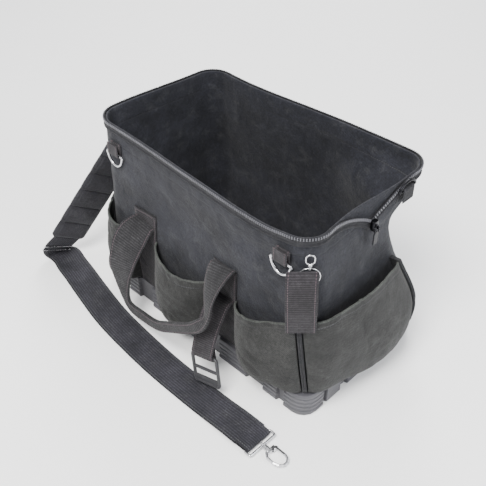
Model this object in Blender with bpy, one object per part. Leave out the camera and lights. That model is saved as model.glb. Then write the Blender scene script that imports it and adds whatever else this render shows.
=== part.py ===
"""Open tool bag on a ribbed plastic tray, one object for each piece, in metres with +Z up.

The origin is the centre of the tray's flat underside. The long front side faces -Y and the
right end faces +X. Places round the bag are given as a run: metres along the shell's base
outline, counted from the middle of the front side towards the right end.
"""
import math

import bmesh
import bpy
import numpy as np
from mathutils import Matrix, Vector

# Driving dimensions
SEAT = 0.0004  # gap kept between pieces that touch
CLOTH_SEAT = 0.0009  # gap kept between the shell and the cloth sewn on it
PINCH_SEAT = 0.0014  # the same gap where the strip lies over the pinch's folds
BASE_LENGTH = 0.396
BASE_WIDTH = 0.228
BASE_CORNER = 0.018
SHELL_CORNER = 0.0306
TRAY_HEIGHT = 0.038
TRAY_WALL = 0.003
TRAY_FLOOR = 0.004
CLEAT_PROUD = 0.0055
CLEAT_RAMP = 0.002
RIB_DEPTH = 0.0016
RIB_COUNT = 4
FOOT_REACH = 0.014  # how far a corner foot runs on past its corner
MOUTH_LENGTH = BASE_LENGTH - 0.018
MOUTH_WIDTH = BASE_WIDTH - 0.008
RIM_HEIGHT = 0.284
RIM_WAVE = 0.006
FABRIC = 0.003
SIDE_BULGE = 0.004
PINCH = 0.042  # how far the wall behind the right end sinks in under the rim
TAPE_WIDTH = 0.013
TAPE_THICK = 0.0016
TAPE_PROUD = 0.003  # how far the zip tape stands above the rim
ZIP_DROP = 0.026
ZIP_PLACE = -0.001  # the slider's place across the right end
ZIP_FLARE = 0.002
SLIDER_SIZE = (0.006, 0.010, 0.014)
PULL_LENGTH = 0.026
PULL_WIDTH = 0.008
PULL_THICK = 0.0016
BAIL_WIRE = 0.0022
PIPING_WIDTH = 0.006
PIPING_PROUD = 0.0015
PIPING_SLANT = 0.009
POCKET_CLOTH = 0.002
POCKET_DEPTH = 0.040
HEM_HEIGHT = 0.150
POCKET_DROP = 0.011  # how far a full pocket hangs below the tray's top edge
WEBBING = 0.044
WEBBING_THICK = 0.002
LEFT_LEG = -0.262626 * BASE_LENGTH  # middle of the front handle's left leg, along the front
RIGHT_LEG = 0.142677 * BASE_LENGTH
BACK_LEG = 0.202020 * BASE_LENGTH
HANDLE_SPREAD = 0.252525 * BASE_LENGTH
HANDLE_REACH = 0.055
HANDLE_RISE = 0.584507 * RIM_HEIGHT
HANDLE_THICK = 0.0026
RING_WIRE = 0.0034
RING_WIDTH = 0.030
RING_DROP = 0.019
RING_SHOULDER = 0.22  # turn at which a ring's bow leaves its bar, in radians
TAB_WIDTH = 0.022
TAB_THICK = 0.0014
TAB_TAIL = 0.016
FRONT_RING_IN = 0.032  # how far a front ring sits in from the corner piping
FRONT_RING_RISE = RIM_HEIGHT - 0.038
END_RING_RISE = RIM_HEIGHT - 0.028
END_RING_SWING = 0.65  # how far the left end ring is pulled out by the strap, in radians
LINK_CLEAR = 0.0014
RIGHT_RING_PLACE = 0.056  # the right end ring's place across its end
LEFT_RING_PLACE = -0.020
LOOP_WIDTH = 0.037
LOOP_THICK = 0.0026
LOOP_TOP = RIM_HEIGHT - 0.039
LOOP_FOOT = 0.157
LOOP_FOOT_SHARE = 0.86  # share of the corner's depth that the piping keeps at the loop's foot
BUCKLE_STRAP = 0.040
BUCKLE_LENGTH = 0.042
STRAP_WIDTH = 0.048
STRAP_THICK = 0.0024
STRAP_END = 0.458333 * BASE_LENGTH  # where the strap folds round its loop
STRAP_TAIL = 0.055
STRAP_LANE = -0.185  # middle of the strap where it lies on the floor
PAD_WIDTH = 0.060
PAD_THICK = 0.011
PAD_LAND = (-0.280, -0.140, 0.042)  # middle of the pad's lower end
STRAP_LOOP_WIRE = 0.003
STRAP_LOOP_DEPTH = 0.010
HOOK_WIRE = 0.0038
HOOK_REACH = 0.033
HOOK_WIDTH = 0.010
HOOK_BARREL = 0.007
PIN_RADIUS = 0.0017
GATE_THICK = 0.0026

END_PIPING_REACH = 0.004  # how far past the right end's straight part its rear piping stands
STRIP_TOP = 0.619718 * RIM_HEIGHT
LOOP_BACK = 0.0060  # how far the loop's back layer stands off the wall
LOOP_SHIFT = 0.006  # how far the loop sits towards the front from the corner's middle
CLIP_RING = 0.025
CLIP_RING_WIRE = 0.0014
CLIP_RING_RISE = RIM_HEIGHT - 0.0505
CLIP_RING_STAND = 0.0029
CLIP_WIRE = 0.0018
CLIP_KNOB = 0.005
CLIP_LENGTH = 0.013
BUCKLE_RISE = 0.126
BUCKLE_ACROSS = (0.95, 0.05, 0.30)
BUCKLE_DOWN = (0.0, -0.16, -0.98)
BUCKLE_BAR = (RIGHT_LEG + 0.0075, -0.1640, 0.0540)
BUCKLE_WIRE = 0.0032
BUCKLE_TAIL = 0.014
BUCKLE_SAG = 0.004
BUCKLE_LEAVE = (0.001, -0.012, -0.004)  # how the strap comes off the wall
STRAP_NECK = 0.042  # width of the strap where it folds through a loop
PAD_ACROSS = (-0.108, -0.830, 0.547)
PAD_PARTS = 6
PAD_SEAM = 0.72
LEFT_HOOK = 0.030
LEFT_HOOK_WIDTH = 0.011
LEFT_TAIL = 0.010
EYE_WIRE = 0.0022
COLLAR = 0.0040
HOOK_BASE = 0.0050
PIN_HEAD = 0.0016
PIN_SPREAD = 1.5  # radius of the pin's head in pin radii
GATE_WALL = 0.0010
POST_RADIUS = 0.0010
CHEEK = 0.0036
CHEEK_THICK = 0.0012
RIGHT_RING_RISE = RIM_HEIGHT - 0.005
RIGHT_RING_DROP = 0.0100

# Sizes worked out from the ones above
SHELL_LENGTH = BASE_LENGTH - 2 * (TRAY_WALL + SEAT)
SHELL_WIDTH = BASE_WIDTH - 2 * (TRAY_WALL + SEAT)
SHELL_FLOOR = TRAY_FLOOR + SEAT
FRONT_RUN = SHELL_LENGTH - 2 * SHELL_CORNER
END_RUN = SHELL_WIDTH - 2 * SHELL_CORNER
ARC_RUN = SHELL_CORNER * math.pi / 2
LOOP_RUN = 2 * (FRONT_RUN + END_RUN) + 4 * ARC_RUN
RIGHT_MIDDLE = FRONT_RUN / 2 + ARC_RUN + END_RUN / 2
BACK_MIDDLE = LOOP_RUN / 2
LEFT_MIDDLE = LOOP_RUN - RIGHT_MIDDLE
CORNERS = {
    "front_right": (FRONT_RUN + ARC_RUN) / 2,
    "back_right": FRONT_RUN / 2 + ARC_RUN + END_RUN + END_PIPING_REACH,
    "back_left": LOOP_RUN - (FRONT_RUN + ARC_RUN) / 2 - ARC_RUN - END_RUN,
    "front_left": LOOP_RUN - (FRONT_RUN + ARC_RUN) / 2,
}
FRONT_RING_PLACE = CORNERS["front_right"] - FRONT_RING_IN
CLEAR_OF_TRAY = TRAY_WALL + SEAT + CLEAT_PROUD + POCKET_CLOTH + SEAT

# How far the pipings, and the pocket edges beside them, stand off the shell
CORNER_DEPTHS = {"front_right": 0.010, "back_right": 0.018, "back_left": 0.006, "front_left": 0.002}

PIPING_TOPS = {"front_right": 0.166, "back_right": 0.168, "back_left": 0.155, "front_left": 0.150}

# Upright sections of the shell: height share, taper share, bulge share
SECTIONS = (
    (0.00, 0.00, 0.0),
    (0.12, 0.05, 0.0),
    (0.26, 0.25, 0.7),
    (0.42, 0.45, 1.0),
    (0.58, 0.62, 0.8),
    (0.72, 0.76, 0.4),
    (0.84, 0.88, 0.2),
    (0.93, 0.95, 0.0),
    (1.00, 1.00, 0.0),
)

# Dents and swells of the shell: plan place as shares of the half length and half width,
# plan reach as a share of the base width, height share, reach up and down as height shares,
# and the push along X and Y as shares of PINCH
DENTS = (
    ("front swell", 0.45, -1.0, 0.95, 1.00, 0.50, 0.50, 0.00, -0.16),
    ("front hollow", -0.20, -1.0, 0.50, 0.70, 0.24, 0.26, 0.00, 0.12),
    ("fold under the front rim", 0.50, -1.0, 0.40, 0.84, 0.07, 0.09, 0.00, 0.08),
    ("back hollow", -0.55, 1.0, 0.80, 0.92, 0.50, 0.55, 0.00, -0.26),
    ("pinch behind the right end", 0.98, 0.90, 0.72, 0.76, 0.21, 0.52, -0.22, -1.00),
    ("left end swell", -1.00, -0.55, 0.50, 1.00, 0.50, 0.40, -0.16, 0.00),
    ("right end hollow", 1.00, -0.25, 0.38, 0.98, 0.50, 0.30, -0.16, 0.00),
)

# Height of the rim round the mouth: run, share of RIM_WAVE above or below RIM_HEIGHT
RIM_LINE = (
    (0.0, -0.40),
    (0.30 * BASE_LENGTH, -1.00),
    (CORNERS["front_right"], 0.10),
    (RIGHT_MIDDLE, 0.00),
    (RIGHT_MIDDLE + END_RUN / 2 + ARC_RUN / 2, 0.60),
    (BACK_MIDDLE, 0.00),
    (CORNERS["back_left"], -0.50),
    (LEFT_MIDDLE, 0.00),
    (CORNERS["front_left"], 0.30),
    (LOOP_RUN, -0.40),
)

# Cleats on each side of the tray: side, middle and length as shares of the side, ribbed or not
CLEATS = (
    ("end", -0.265, 0.118, False),
    ("end", -0.015, 0.230, True),
    ("end", 0.228, 0.149, True),
    ("front", -0.355, 0.060, True),
    ("front", -0.180, 0.130, True),
    ("front", 0.000, 0.130, True),
    ("front", 0.180, 0.130, True),
    ("front", 0.355, 0.060, True),
)

# Front handle from its left leg round to its right: for the outer edge and then the inner
# edge, the place along the front from the handle's middle (share of HANDLE_SPREAD), the reach
# out from the wall (share of HANDLE_REACH) and the height (share of HANDLE_RISE), and last the
# thickness as a share of HANDLE_THICK
FRONT_HANDLE = (
    (-0.98, 0.01, 0.985, -0.60, 0.01, 0.925, 1.0),
    (-0.99, 0.20, 0.990, -0.60, 0.10, 0.915, 1.0),
    (-1.00, 0.49, 0.965, -0.60, 0.29, 0.840, 1.0),
    (-1.01, 0.71, 0.880, -0.60, 0.47, 0.765, 1.0),
    (-1.01, 0.85, 0.760, -0.60, 0.62, 0.700, 1.0),
    (-1.00, 0.95, 0.625, -0.60, 0.75, 0.625, 1.1),
    (-0.96, 0.90, 0.480, -0.66, 0.80, 0.505, 1.5),
    (-0.85, 0.88, 0.277, -0.69, 0.86, 0.315, 2.1),
    (-0.68, 0.90, 0.170, -0.62, 0.88, 0.275, 2.1),
    (-0.34, 0.93, 0.180, -0.38, 0.90, 0.290, 2.1),
    (-0.02, 0.98, 0.235, -0.08, 0.95, 0.330, 2.1),
    (0.24, 0.98, 0.320, 0.16, 0.95, 0.415, 2.1),
    (0.75, 0.98, 0.540, 0.65, 0.95, 0.625, 2.1),
    (0.96, 0.95, 0.660, 0.82, 0.88, 0.720, 1.8),
    (1.06, 0.89, 0.805, 0.90, 0.79, 0.775, 1.4),
    (1.04, 0.75, 0.915, 0.76, 0.57, 0.845, 1.0),
    (1.04, 0.57, 1.005, 0.62, 0.32, 0.880, 1.0),
    (1.04, 0.32, 1.065, 0.57, 0.19, 0.950, 1.0),
    (1.04, 0.10, 1.095, 0.56, 0.08, 1.020, 1.0),
    (1.04, 0.01, 1.090, 0.56, 0.01, 1.030, 1.0),
)

# Back handle in the same columns, hanging plainly
BACK_HANDLE = (
    (-1.00, 0.034, 0.975, -0.58, 0.034, 0.945, 1.0),
    (-1.00, 0.25, 0.960, -0.58, 0.25, 0.925, 1.0),
    (-1.00, 0.50, 0.830, -0.60, 0.48, 0.800, 1.0),
    (-0.96, 0.58, 0.620, -0.68, 0.58, 0.640, 1.4),
    (-0.76, 0.60, 0.440, -0.64, 0.60, 0.530, 2.1),
    (-0.35, 0.62, 0.360, -0.32, 0.62, 0.465, 2.1),
    (0.00, 0.62, 0.350, 0.00, 0.62, 0.455, 2.1),
    (0.35, 0.62, 0.360, 0.32, 0.62, 0.465, 2.1),
    (0.76, 0.60, 0.440, 0.64, 0.60, 0.530, 2.1),
    (0.96, 0.58, 0.620, 0.68, 0.58, 0.640, 1.4),
    (1.00, 0.50, 0.830, 0.60, 0.48, 0.800, 1.0),
    (1.00, 0.25, 0.960, 0.58, 0.25, 0.925, 1.0),
    (1.00, 0.026, 0.975, 0.58, 0.026, 0.945, 1.0),
)

# Shoulder strap from the pad's foot to its right loop: place along X as a share of the half
# length, place along Y as a share of STRAP_LANE, height in strap thicknesses, and how much the
# strap still stands on edge as the pad does
STRAP_ROWS = (
    (-1.465, 0.815, 11.0, 0.90),
    (-1.505, 0.820, 6.2, 0.55),
    (-1.515, 0.800, 2.9, 0.18),
    (-1.490, 0.775, 1.0, 0.02),
    (-1.430, 0.775, 0.5, 0.00),
    (-1.340, 0.800, 0.5, 0.00),
    (-1.190, 0.832, 0.5, 0.00),
    (-0.960, 0.886, 0.5, 0.00),
    (-0.650, 0.951, 0.5, 0.00),
    (-0.350, 0.984, 0.5, 0.00),
    (0.000, 1.005, 0.5, 0.00),
    (0.350, 1.005, 0.5, 0.00),
    (0.560, 1.000, 0.8, 0.00),
    (0.700, 1.000, 1.9, 0.00),
    (0.850, 1.000, 2.3, 0.00),
)

# Bow of the hook from its base round to its nose: shares of HOOK_REACH and HOOK_WIDTH
HOOK_BOW = (
    (0.08, -0.32),
    (0.16, -0.66),
    (0.30, -0.98),
    (0.60, -1.00),
    (0.82, -0.78),
    (0.94, -0.30),
    (0.94, 0.25),
    (0.84, 0.72),
    (0.68, 0.92),
)
GATE_PLACE = (0.20, 0.90)  # the gate's pivot in the same shares

# Pockets: hem height at the start, middle and end as shares of HEM_HEIGHT, belly towards the
# start and the end as shares of POCKET_DEPTH, and the number of even columns
POCKETS = {
    "front_left": (1.000, 0.933, 0.973, 0.45, 0.90, 7),
    "front_middle": (0.893, 0.840, 0.920, 0.88, 0.88, 11),
    "front_right": (0.867, 0.940, 1.093, 0.83, 0.55, 10),
    "right_end": (1.120, 1.147, 1.113, 0.55, 1.00, 9),
    "back_right": (0.900, 0.867, 0.900, 0.50, 0.55, 6),
    "back_left": (1.033, 1.000, 1.033, 0.40, 0.35, 7),
    "left_end": (1.033, 1.067, 1.000, 0.50, 0.10, 8),
}

# Profile of a pocket from its foot on the shell up to its hem:
# rise share, share of the belly, share of POCKET_DROP
POCKET_PROFILE = (
    (0.00, 0.00, 0.0),
    (0.005, 0.42, 0.0),
    (0.01, 0.80, 1.0),
    (0.06, 0.97, 0.7),
    (0.22, 1.00, 0.0),
    (0.45, 0.98, 0.0),
    (0.72, 0.84, 0.0),
    (1.00, 0.62, 0.0),
)
STRIP_ROW = 0.50  # one more height share that the handle strips bend at
POCKET_ROWS = (0.26, 0.34, 0.42)  # height shares of the shell that a pocket's cloth also bends at


def clear_scene():
    for item in list(bpy.data.objects):
        bpy.data.objects.remove(item, do_unlink=True)


def material(name, colour, roughness, metallic=0.0):
    made = bpy.data.materials.new(name)
    made.use_nodes = True
    shader = made.node_tree.nodes["Principled BSDF"]
    shader.inputs["Base Color"].default_value = (*colour, 1.0)
    shader.inputs["Roughness"].default_value = roughness
    shader.inputs["Metallic"].default_value = metallic
    return made


def link_mesh(name, points, faces, finish):
    """One closed mesh object with its faces turned outwards."""
    mesh = bpy.data.meshes.new(name)
    mesh.from_pydata([tuple(map(float, point)) for point in points], [], faces)
    work = bmesh.new()
    work.from_mesh(mesh)
    bmesh.ops.remove_doubles(work, verts=work.verts, dist=0.000001)
    bmesh.ops.recalc_face_normals(work, faces=work.faces)
    work.to_mesh(mesh)
    work.free()
    made = bpy.data.objects.new(name, mesh)
    made.data.materials.append(finish)
    bpy.context.scene.collection.objects.link(made)
    mesh.shade_smooth()
    mesh.set_sharp_from_angle(angle=math.radians(35))
    return made


def combine(kept, others, operation="UNION"):
    """Join or cut the kept object with helper solids that stay as wire guides."""
    for other in others:
        step = kept.modifiers.new(other.name, "BOOLEAN")
        step.operation = operation
        step.solver = "EXACT"
        step.object = other
        other.hide_render = True
        other.display_type = "WIRE"
    return kept


def smooth_table(value, rows):
    """Read a table of (place, size) rows with a soft step from each row to the next."""
    places = [row[0] for row in rows]
    index = min(max(np.searchsorted(places, value) - 1, 0), len(rows) - 2)
    share = (value - places[index]) / (places[index + 1] - places[index])
    share = min(max(share, 0.0), 1.0)
    share = share * share * (3 - 2 * share)
    return rows[index][1] + share * (rows[index + 1][1] - rows[index][1])


def smooth_rows(rows, steps):
    """Points of a smooth curve through every row, with some steps from each row to the next."""
    rows = np.array(rows, float)
    ends = np.vstack((2 * rows[0] - rows[1], rows, 2 * rows[-1] - rows[-2]))
    made = []
    for index in range(1, len(ends) - 2):
        before, start, end, after = ends[index - 1:index + 3]
        for share in np.arange(steps) / steps:
            made.append(
                0.5 * (2 * start + (end - before) * share
                       + (2 * before - 5 * start + 4 * end - after) * share ** 2
                       + (3 * start - before - 3 * end + after) * share ** 3))
    made.append(rows[-1])
    return np.array(made)


def unit(vector):
    vector = np.array(vector, float)
    return vector / np.linalg.norm(vector)


def outline(run, length, width, corner):
    """Point and outward normal of a rounded rectangle, a run from its front middle."""
    sides = (length - 2 * corner, width - 2 * corner) * 2
    arc = corner * math.pi / 2
    left = (run + sides[0] / 2) % (sum(sides) + 4 * arc)
    for side, side_run in enumerate(sides):
        turn = side * math.pi / 2
        along = np.array((math.cos(turn), math.sin(turn)))
        out = np.array((math.sin(turn), -math.cos(turn)))
        depth = (length if side % 2 else width) / 2
        if left <= side_run:
            return along * (left - side_run / 2) + out * depth, out
        left -= side_run
        if left <= arc:
            facing = out * math.cos(left / corner) + along * math.sin(left / corner)
            return along * side_run / 2 + out * (depth - corner) + facing * corner, facing
        left -= arc
    return outline(0.0, length, width, corner)


def run_stations():
    """Runs at which the shell's wall has an upright line of corners."""
    pieces = ((FRONT_RUN, 11), (ARC_RUN, 4), (END_RUN, 5), (ARC_RUN, 4)) * 2
    stations = [-FRONT_RUN / 2]
    for piece_run, count in pieces:
        start = stations[-1]
        stations += [start + piece_run * (step + 1) / count for step in range(count)]
    return np.array(stations)


def fade(distance, reach):
    return math.cos(min(distance / reach, 1.0) * math.pi / 2) ** 2


def shell_point(run, share):
    """Outer face of the shell at a run and a share of the height from its floor to the rim."""
    heights = [row[0] for row in SECTIONS]
    taper = np.interp(share, heights, [row[1] for row in SECTIONS])
    bulge = np.interp(share, heights, [row[2] for row in SECTIONS])
    place, facing = outline(run, SHELL_LENGTH, SHELL_WIDTH, SHELL_CORNER)
    shrink = np.array((MOUTH_LENGTH / SHELL_LENGTH - 1, MOUTH_WIDTH / SHELL_WIDTH - 1))
    plan = place * (1 + taper * shrink) + facing * SIDE_BULGE * bulge
    push = np.zeros(2)
    for _, x_share, y_share, reach, height, reach_up, reach_down, push_x, push_y in DENTS:
        centre = np.array((x_share * SHELL_LENGTH / 2, y_share * SHELL_WIDTH / 2))
        spread = fade(np.linalg.norm(place - centre), reach * BASE_WIDTH)
        spread *= fade(abs(share - height), reach_up if share > height else reach_down)
        push += np.array((push_x, push_y)) * PINCH * spread
    rim = RIM_HEIGHT + RIM_WAVE * smooth_table(run % LOOP_RUN, RIM_LINE)
    return np.array((*(plan + push), SHELL_FLOOR + share * (rim - SHELL_FLOOR)))


STATIONS = run_stations()
SHARES = np.array([row[0] for row in SECTIONS])
WALL_GRID = np.array([[shell_point(run, share) for share in SHARES] for run in STATIONS])


def on_grid(run, share):
    """Point on the shell's flat facets at a run and a height share."""
    run = (run - STATIONS[0]) % LOOP_RUN + STATIONS[0]
    column = min(max(np.searchsorted(STATIONS, run) - 1, 0), len(STATIONS) - 2)
    row = min(max(np.searchsorted(SHARES, share) - 1, 0), len(SHARES) - 2)
    across = (run - STATIONS[column]) / (STATIONS[column + 1] - STATIONS[column])
    up = (share - SHARES[row]) / (SHARES[row + 1] - SHARES[row])
    near, far = WALL_GRID[column, row], WALL_GRID[column + 1, row + 1]
    if across > up:
        return near + (WALL_GRID[column + 1, row] - near) * (across - up) + (far - near) * up
    return near + (WALL_GRID[column, row + 1] - near) * (up - across) + (far - near) * across


def facing_at(run):
    return outline(run, SHELL_LENGTH, SHELL_WIDTH, SHELL_CORNER)[1]


def wall(run, height, out=0.0):
    """Point at a height, standing off the shell's facets by out."""
    rim = on_grid(run, 1.0)[2]
    point = on_grid(run, (height - SHELL_FLOOR) / (rim - SHELL_FLOOR))
    facing = facing_at(run)
    return np.array((point[0] + facing[0] * out, point[1] + facing[1] * out, height))


def runs_between(start, end, count):
    """Even runs from start to end, with the shell's own stations between them added."""
    even = np.linspace(start, end, count)
    turns = (-LOOP_RUN, 0.0, LOOP_RUN)
    own = [run + turn for run in STATIONS for turn in turns]
    spare = (end - start) / (count * 3)
    extra = [run for run in own if start + SEAT < run < end - SEAT]
    kept = [run for run in even[1:-1] if all(abs(run - other) > spare for other in extra)]
    return np.array(sorted([start, end] + kept + extra))


def grid_faces(columns, rows, start=0, closed=False):
    """Quads of a grid of points stored column by column."""
    faces = []
    for column in range(columns if closed else columns - 1):
        following = (column + 1) % columns
        for row in range(rows - 1):
            faces.append((start + column * rows + row, start + following * rows + row,
                          start + following * rows + row + 1, start + column * rows + row + 1))
    return faces


def split_faces(faces):
    """Cut quads in two from their first corner, as the wall's facets are read."""
    return [part for a, b, c, d in faces for part in ((a, b, c), (a, c, d))]


def sheet_solid(name, inner, outer, finish):
    """Closed cloth between two equal grids of points."""
    columns, rows = inner.shape[:2]
    size = columns * rows
    faces = split_faces(grid_faces(columns, rows) + grid_faces(columns, rows, size))
    border = [(column, 0) for column in range(columns)]
    border += [(columns - 1, row) for row in range(1, rows)]
    border += [(column, rows - 1) for column in range(columns - 2, -1, -1)]
    border += [(0, row) for row in range(rows - 2, 0, -1)]
    for (column, row), (next_column, next_row) in zip(border, border[1:] + border[:1]):
        near, far = column * rows + row, next_column * rows + next_row
        faces.append((near, far, far + size, near + size))
    points = np.vstack((inner.reshape(-1, 3), outer.reshape(-1, 3)))
    return link_mesh(name, points, faces, finish)


def ring_solid(name, rings, finish, closed=False):
    """Closed solid through equal rings of points, with flat ends or joined end to end."""
    rings = np.array(rings)
    count, sides = rings.shape[:2]
    faces = []
    for ring in range(count if closed else count - 1):
        near, far = ring * sides, (ring + 1) % count * sides
        faces += [(near + side, near + (side + 1) % sides, far + (side + 1) % sides, far + side)
                  for side in range(sides)]
    if not closed:
        faces += [tuple(range(sides)), tuple((count - 1) * sides + side for side in range(sides))]
    return link_mesh(name, rings.reshape(-1, 3), faces, finish)


def ribbon(name, first_edge, second_edge, thick, finish):
    """Band of cloth between two edge lines, as thick as said at each section."""
    first_edge, second_edge = np.array(first_edge), np.array(second_edge)
    thick = np.broadcast_to(thick, len(first_edge))
    middle = (first_edge + second_edge) / 2
    heading = np.gradient(middle, axis=0)
    rings = []
    for start, end, way, depth in zip(first_edge, second_edge, heading, thick):
        normal = unit(np.cross(way, end - start)) * depth / 2
        rings.append((start + normal, end + normal, end - normal, start - normal))
    return ring_solid(name, rings, finish)


def band(name, middle, across, width, thick, finish):
    """Ribbon along a middle line, with its width along the across directions."""
    middle = np.array(middle)
    across = np.array([unit(way) for way in np.broadcast_to(across, middle.shape)])
    return ribbon(name, middle - across * width / 2, middle + across * width / 2, thick, finish)


def flat_loop(name, points, normal, wire, sides, finish, closed=True):
    """Wire along a flat path, joined end to end if closed."""
    points, normal = np.array(points, float), unit(normal)
    count = len(points)
    rings = []
    for index, point in enumerate(points):
        before = points[(index - 1) % count] if closed else points[max(index - 1, 0)]
        after = points[(index + 1) % count] if closed else points[min(index + 1, count - 1)]
        side = np.cross(unit(after - before), normal)
        turns = [2 * math.pi * step / sides for step in range(sides)]
        rings.append([point + wire / 2 * (side * math.cos(turn) + normal * math.sin(turn))
                      for turn in turns])
    return ring_solid(name, rings, finish, closed)


def rounded_loop(length, width, corner, steps):
    """Flat points of a rounded rectangle, as (along, across) pairs."""
    made = []
    for quarter in range(4):
        centre = ((1 if quarter in (0, 3) else -1) * (length / 2 - corner),
                  (1 if quarter < 2 else -1) * (width / 2 - corner))
        for step in range(steps + 1):
            turn = math.pi / 2 * (quarter + step / steps)
            made.append((centre[0] + corner * math.cos(turn), centre[1] + corner * math.sin(turn)))
    return made


def placed(flat, centre, along, across):
    """Flat points put in space on two directions."""
    return [np.array(centre) + np.array(along) * a + np.array(across) * b for a, b in flat]


def cylinder(name, start, end, radius, sides, finish):
    start, end = np.array(start, float), np.array(end, float)
    axis = unit(end - start)
    side = unit(np.cross(axis, (0.0, 0.0, 1.0) if abs(axis[2]) < 0.9 else (1.0, 0.0, 0.0)))
    up = np.cross(axis, side)
    turns = [2 * math.pi * step / sides for step in range(sides)]
    rings = [[point + radius * (side * math.cos(turn) + up * math.sin(turn)) for turn in turns]
             for point in (start, end)]
    return ring_solid(name, rings, finish)


def block(name, low, high, finish):
    (x0, y0, z0), (x1, y1, z1) = low, high
    rings = [[(x, y0, z0), (x, y1, z0), (x, y1, z1), (x, y0, z1)] for x in (x0, x1)]
    return ring_solid(name, rings, finish)


def tray_stations():
    """Runs round the tray: outer run, inner run, how proud it stands and whether it is ribbed."""
    front = BASE_LENGTH - 2 * BASE_CORNER
    end = BASE_WIDTH - 2 * BASE_CORNER
    arc = BASE_CORNER * math.pi / 2
    inner_arc = (SHELL_CORNER + SEAT) * math.pi / 2
    rows = []
    start, inner_start = -front / 2, -FRONT_RUN / 2
    for name, side, inner_side in (("front", front, FRONT_RUN), ("end", end, END_RUN)) * 2:
        whole = BASE_LENGTH if name == "front" else BASE_WIDTH
        foot = side / 2 - FOOT_REACH
        marks = [(-foot, 1.0, True), (-foot + CLEAT_RAMP, 0.0, False)]
        for cleat_side, place, length, ribbed in CLEATS:
            if cleat_side == name:
                low, high = (place - length / 2) * whole, (place + length / 2) * whole
                marks += [(low - CLEAT_RAMP, 0.0, False), (low, 1.0, ribbed)]
                marks += [(high, 1.0, ribbed), (high + CLEAT_RAMP, 0.0, False)]
        marks += [(foot - CLEAT_RAMP, 0.0, False), (foot, 1.0, True)]
        for place, proud, ribbed in marks:
            inner = min(max(place, -inner_side / 2), inner_side / 2)
            rows.append((start + side / 2 + place, inner_start + inner_side / 2 + inner,
                         proud, ribbed))
        rows += [(start + side + arc * step / 4, inner_start + inner_side + inner_arc * step / 4,
                  1.0, True) for step in range(5)]
        start += side + arc
        inner_start += inner_side + inner_arc
    return rows


def tray_levels():
    """Heights of the tray's outer face: height, share of the cleat, share of the rib groove."""
    first, last = 0.004, TRAY_HEIGHT - 0.004
    rows = [(0.0, 0.7, 0.0), (0.0015, 1.0, 0.0)]
    for step in range(2 * RIB_COUNT + 1):
        height = first + (last - first) * step / (2 * RIB_COUNT)
        rows.append((height, 1.0, float(step % 2)))
    return rows + [(TRAY_HEIGHT, 0.6, 0.0)]


def make_tray(finish):
    """Open tray: ribbed outer face, flat underside, plain inner wall and floor."""
    rings = []
    inner_size = (SHELL_LENGTH + 2 * SEAT, SHELL_WIDTH + 2 * SEAT, SHELL_CORNER + SEAT)
    for run, inner_run, proud, ribbed in tray_stations():
        place, facing = outline(run, BASE_LENGTH, BASE_WIDTH, BASE_CORNER)
        ring = []
        for height, cleat, groove in tray_levels():
            out = CLEAT_PROUD * proud * cleat - (RIB_DEPTH * groove if ribbed else 0.0)
            ring.append((*(place + facing * out), height))
        inside = outline(inner_run, *inner_size)[0]
        ring += [(*inside, TRAY_HEIGHT), (*inside, TRAY_FLOOR)]
        rings.append(ring)
    columns, rows = len(rings), len(rings[0])
    faces = grid_faces(columns, rows, closed=True)
    faces.append(tuple(column * rows for column in range(columns)))
    faces.append(tuple(column * rows + rows - 1 for column in range(columns)))
    return link_mesh("base_tray", np.array(rings).reshape(-1, 3), faces, finish)


def make_shell(finish):
    """Fabric shell with a floor and an open mouth."""
    rings = []
    for column, run in enumerate(STATIONS[:-1]):
        facing = np.array((*facing_at(run), 0.0))
        outer = list(WALL_GRID[column])
        inner = [point - facing * FABRIC for point in outer[::-1]]
        inner[-1] = inner[-1] + np.array((0.0, 0.0, FABRIC))
        rings.append(outer + inner)
    columns, rows = len(rings), len(rings[0])
    faces = split_faces(grid_faces(columns, rows, closed=True))
    faces.append(tuple(column * rows for column in range(columns)))
    faces.append(tuple(column * rows + rows - 1 for column in range(columns)))
    return link_mesh("body_shell", np.array(rings).reshape(-1, 3), faces, finish)


def tape_drop(run):
    """How far the zip tape dips below the rim near the slider, as a share of ZIP_DROP."""
    distance = abs((run - RIGHT_MIDDLE - ZIP_PLACE + LOOP_RUN / 2) % LOOP_RUN - LOOP_RUN / 2)
    return max(1.0 - distance / (0.30 * BASE_WIDTH), 0.0) ** 1.5


def tape_edges(run):
    """Lower and upper edge of the zip tape's middle at a run."""
    drop = tape_drop(run)
    rim = on_grid(run, 1.0)[2]
    top = rim + TAPE_PROUD - ZIP_DROP * drop
    out = CLOTH_SEAT + TAPE_THICK / 2 + ZIP_FLARE * drop
    low = wall(run, top - TAPE_WIDTH, out)
    high = wall(run, min(top, rim), out + ZIP_FLARE * drop)
    return low, low + (high - low) * TAPE_WIDTH / (high[2] - low[2])


def make_tape(name, start, end, finish):
    """Zip tape along the outside of the rim, dipping to the slider at the right end."""
    edges = [tape_edges(run) for run in runs_between(start, end, 18)]
    return ribbon(name, [low for low, high in edges], [high for low, high in edges],
                  TAPE_THICK, finish)


def beside(corner, side, turn=0.0):
    """Foot and hem runs of a pocket edge that stops beside a corner piping."""
    slant = PIPING_SLANT if corner == "front_right" else 0.0
    run = CORNERS[corner] + turn + side * (PIPING_WIDTH / 2 + SEAT)
    return run, run - slant


def beside_strip(leg, side):
    """Foot and hem runs of a pocket edge that stops beside a handle strip."""
    return (leg + side * (WEBBING / 2 + SEAT),) * 2


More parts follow.
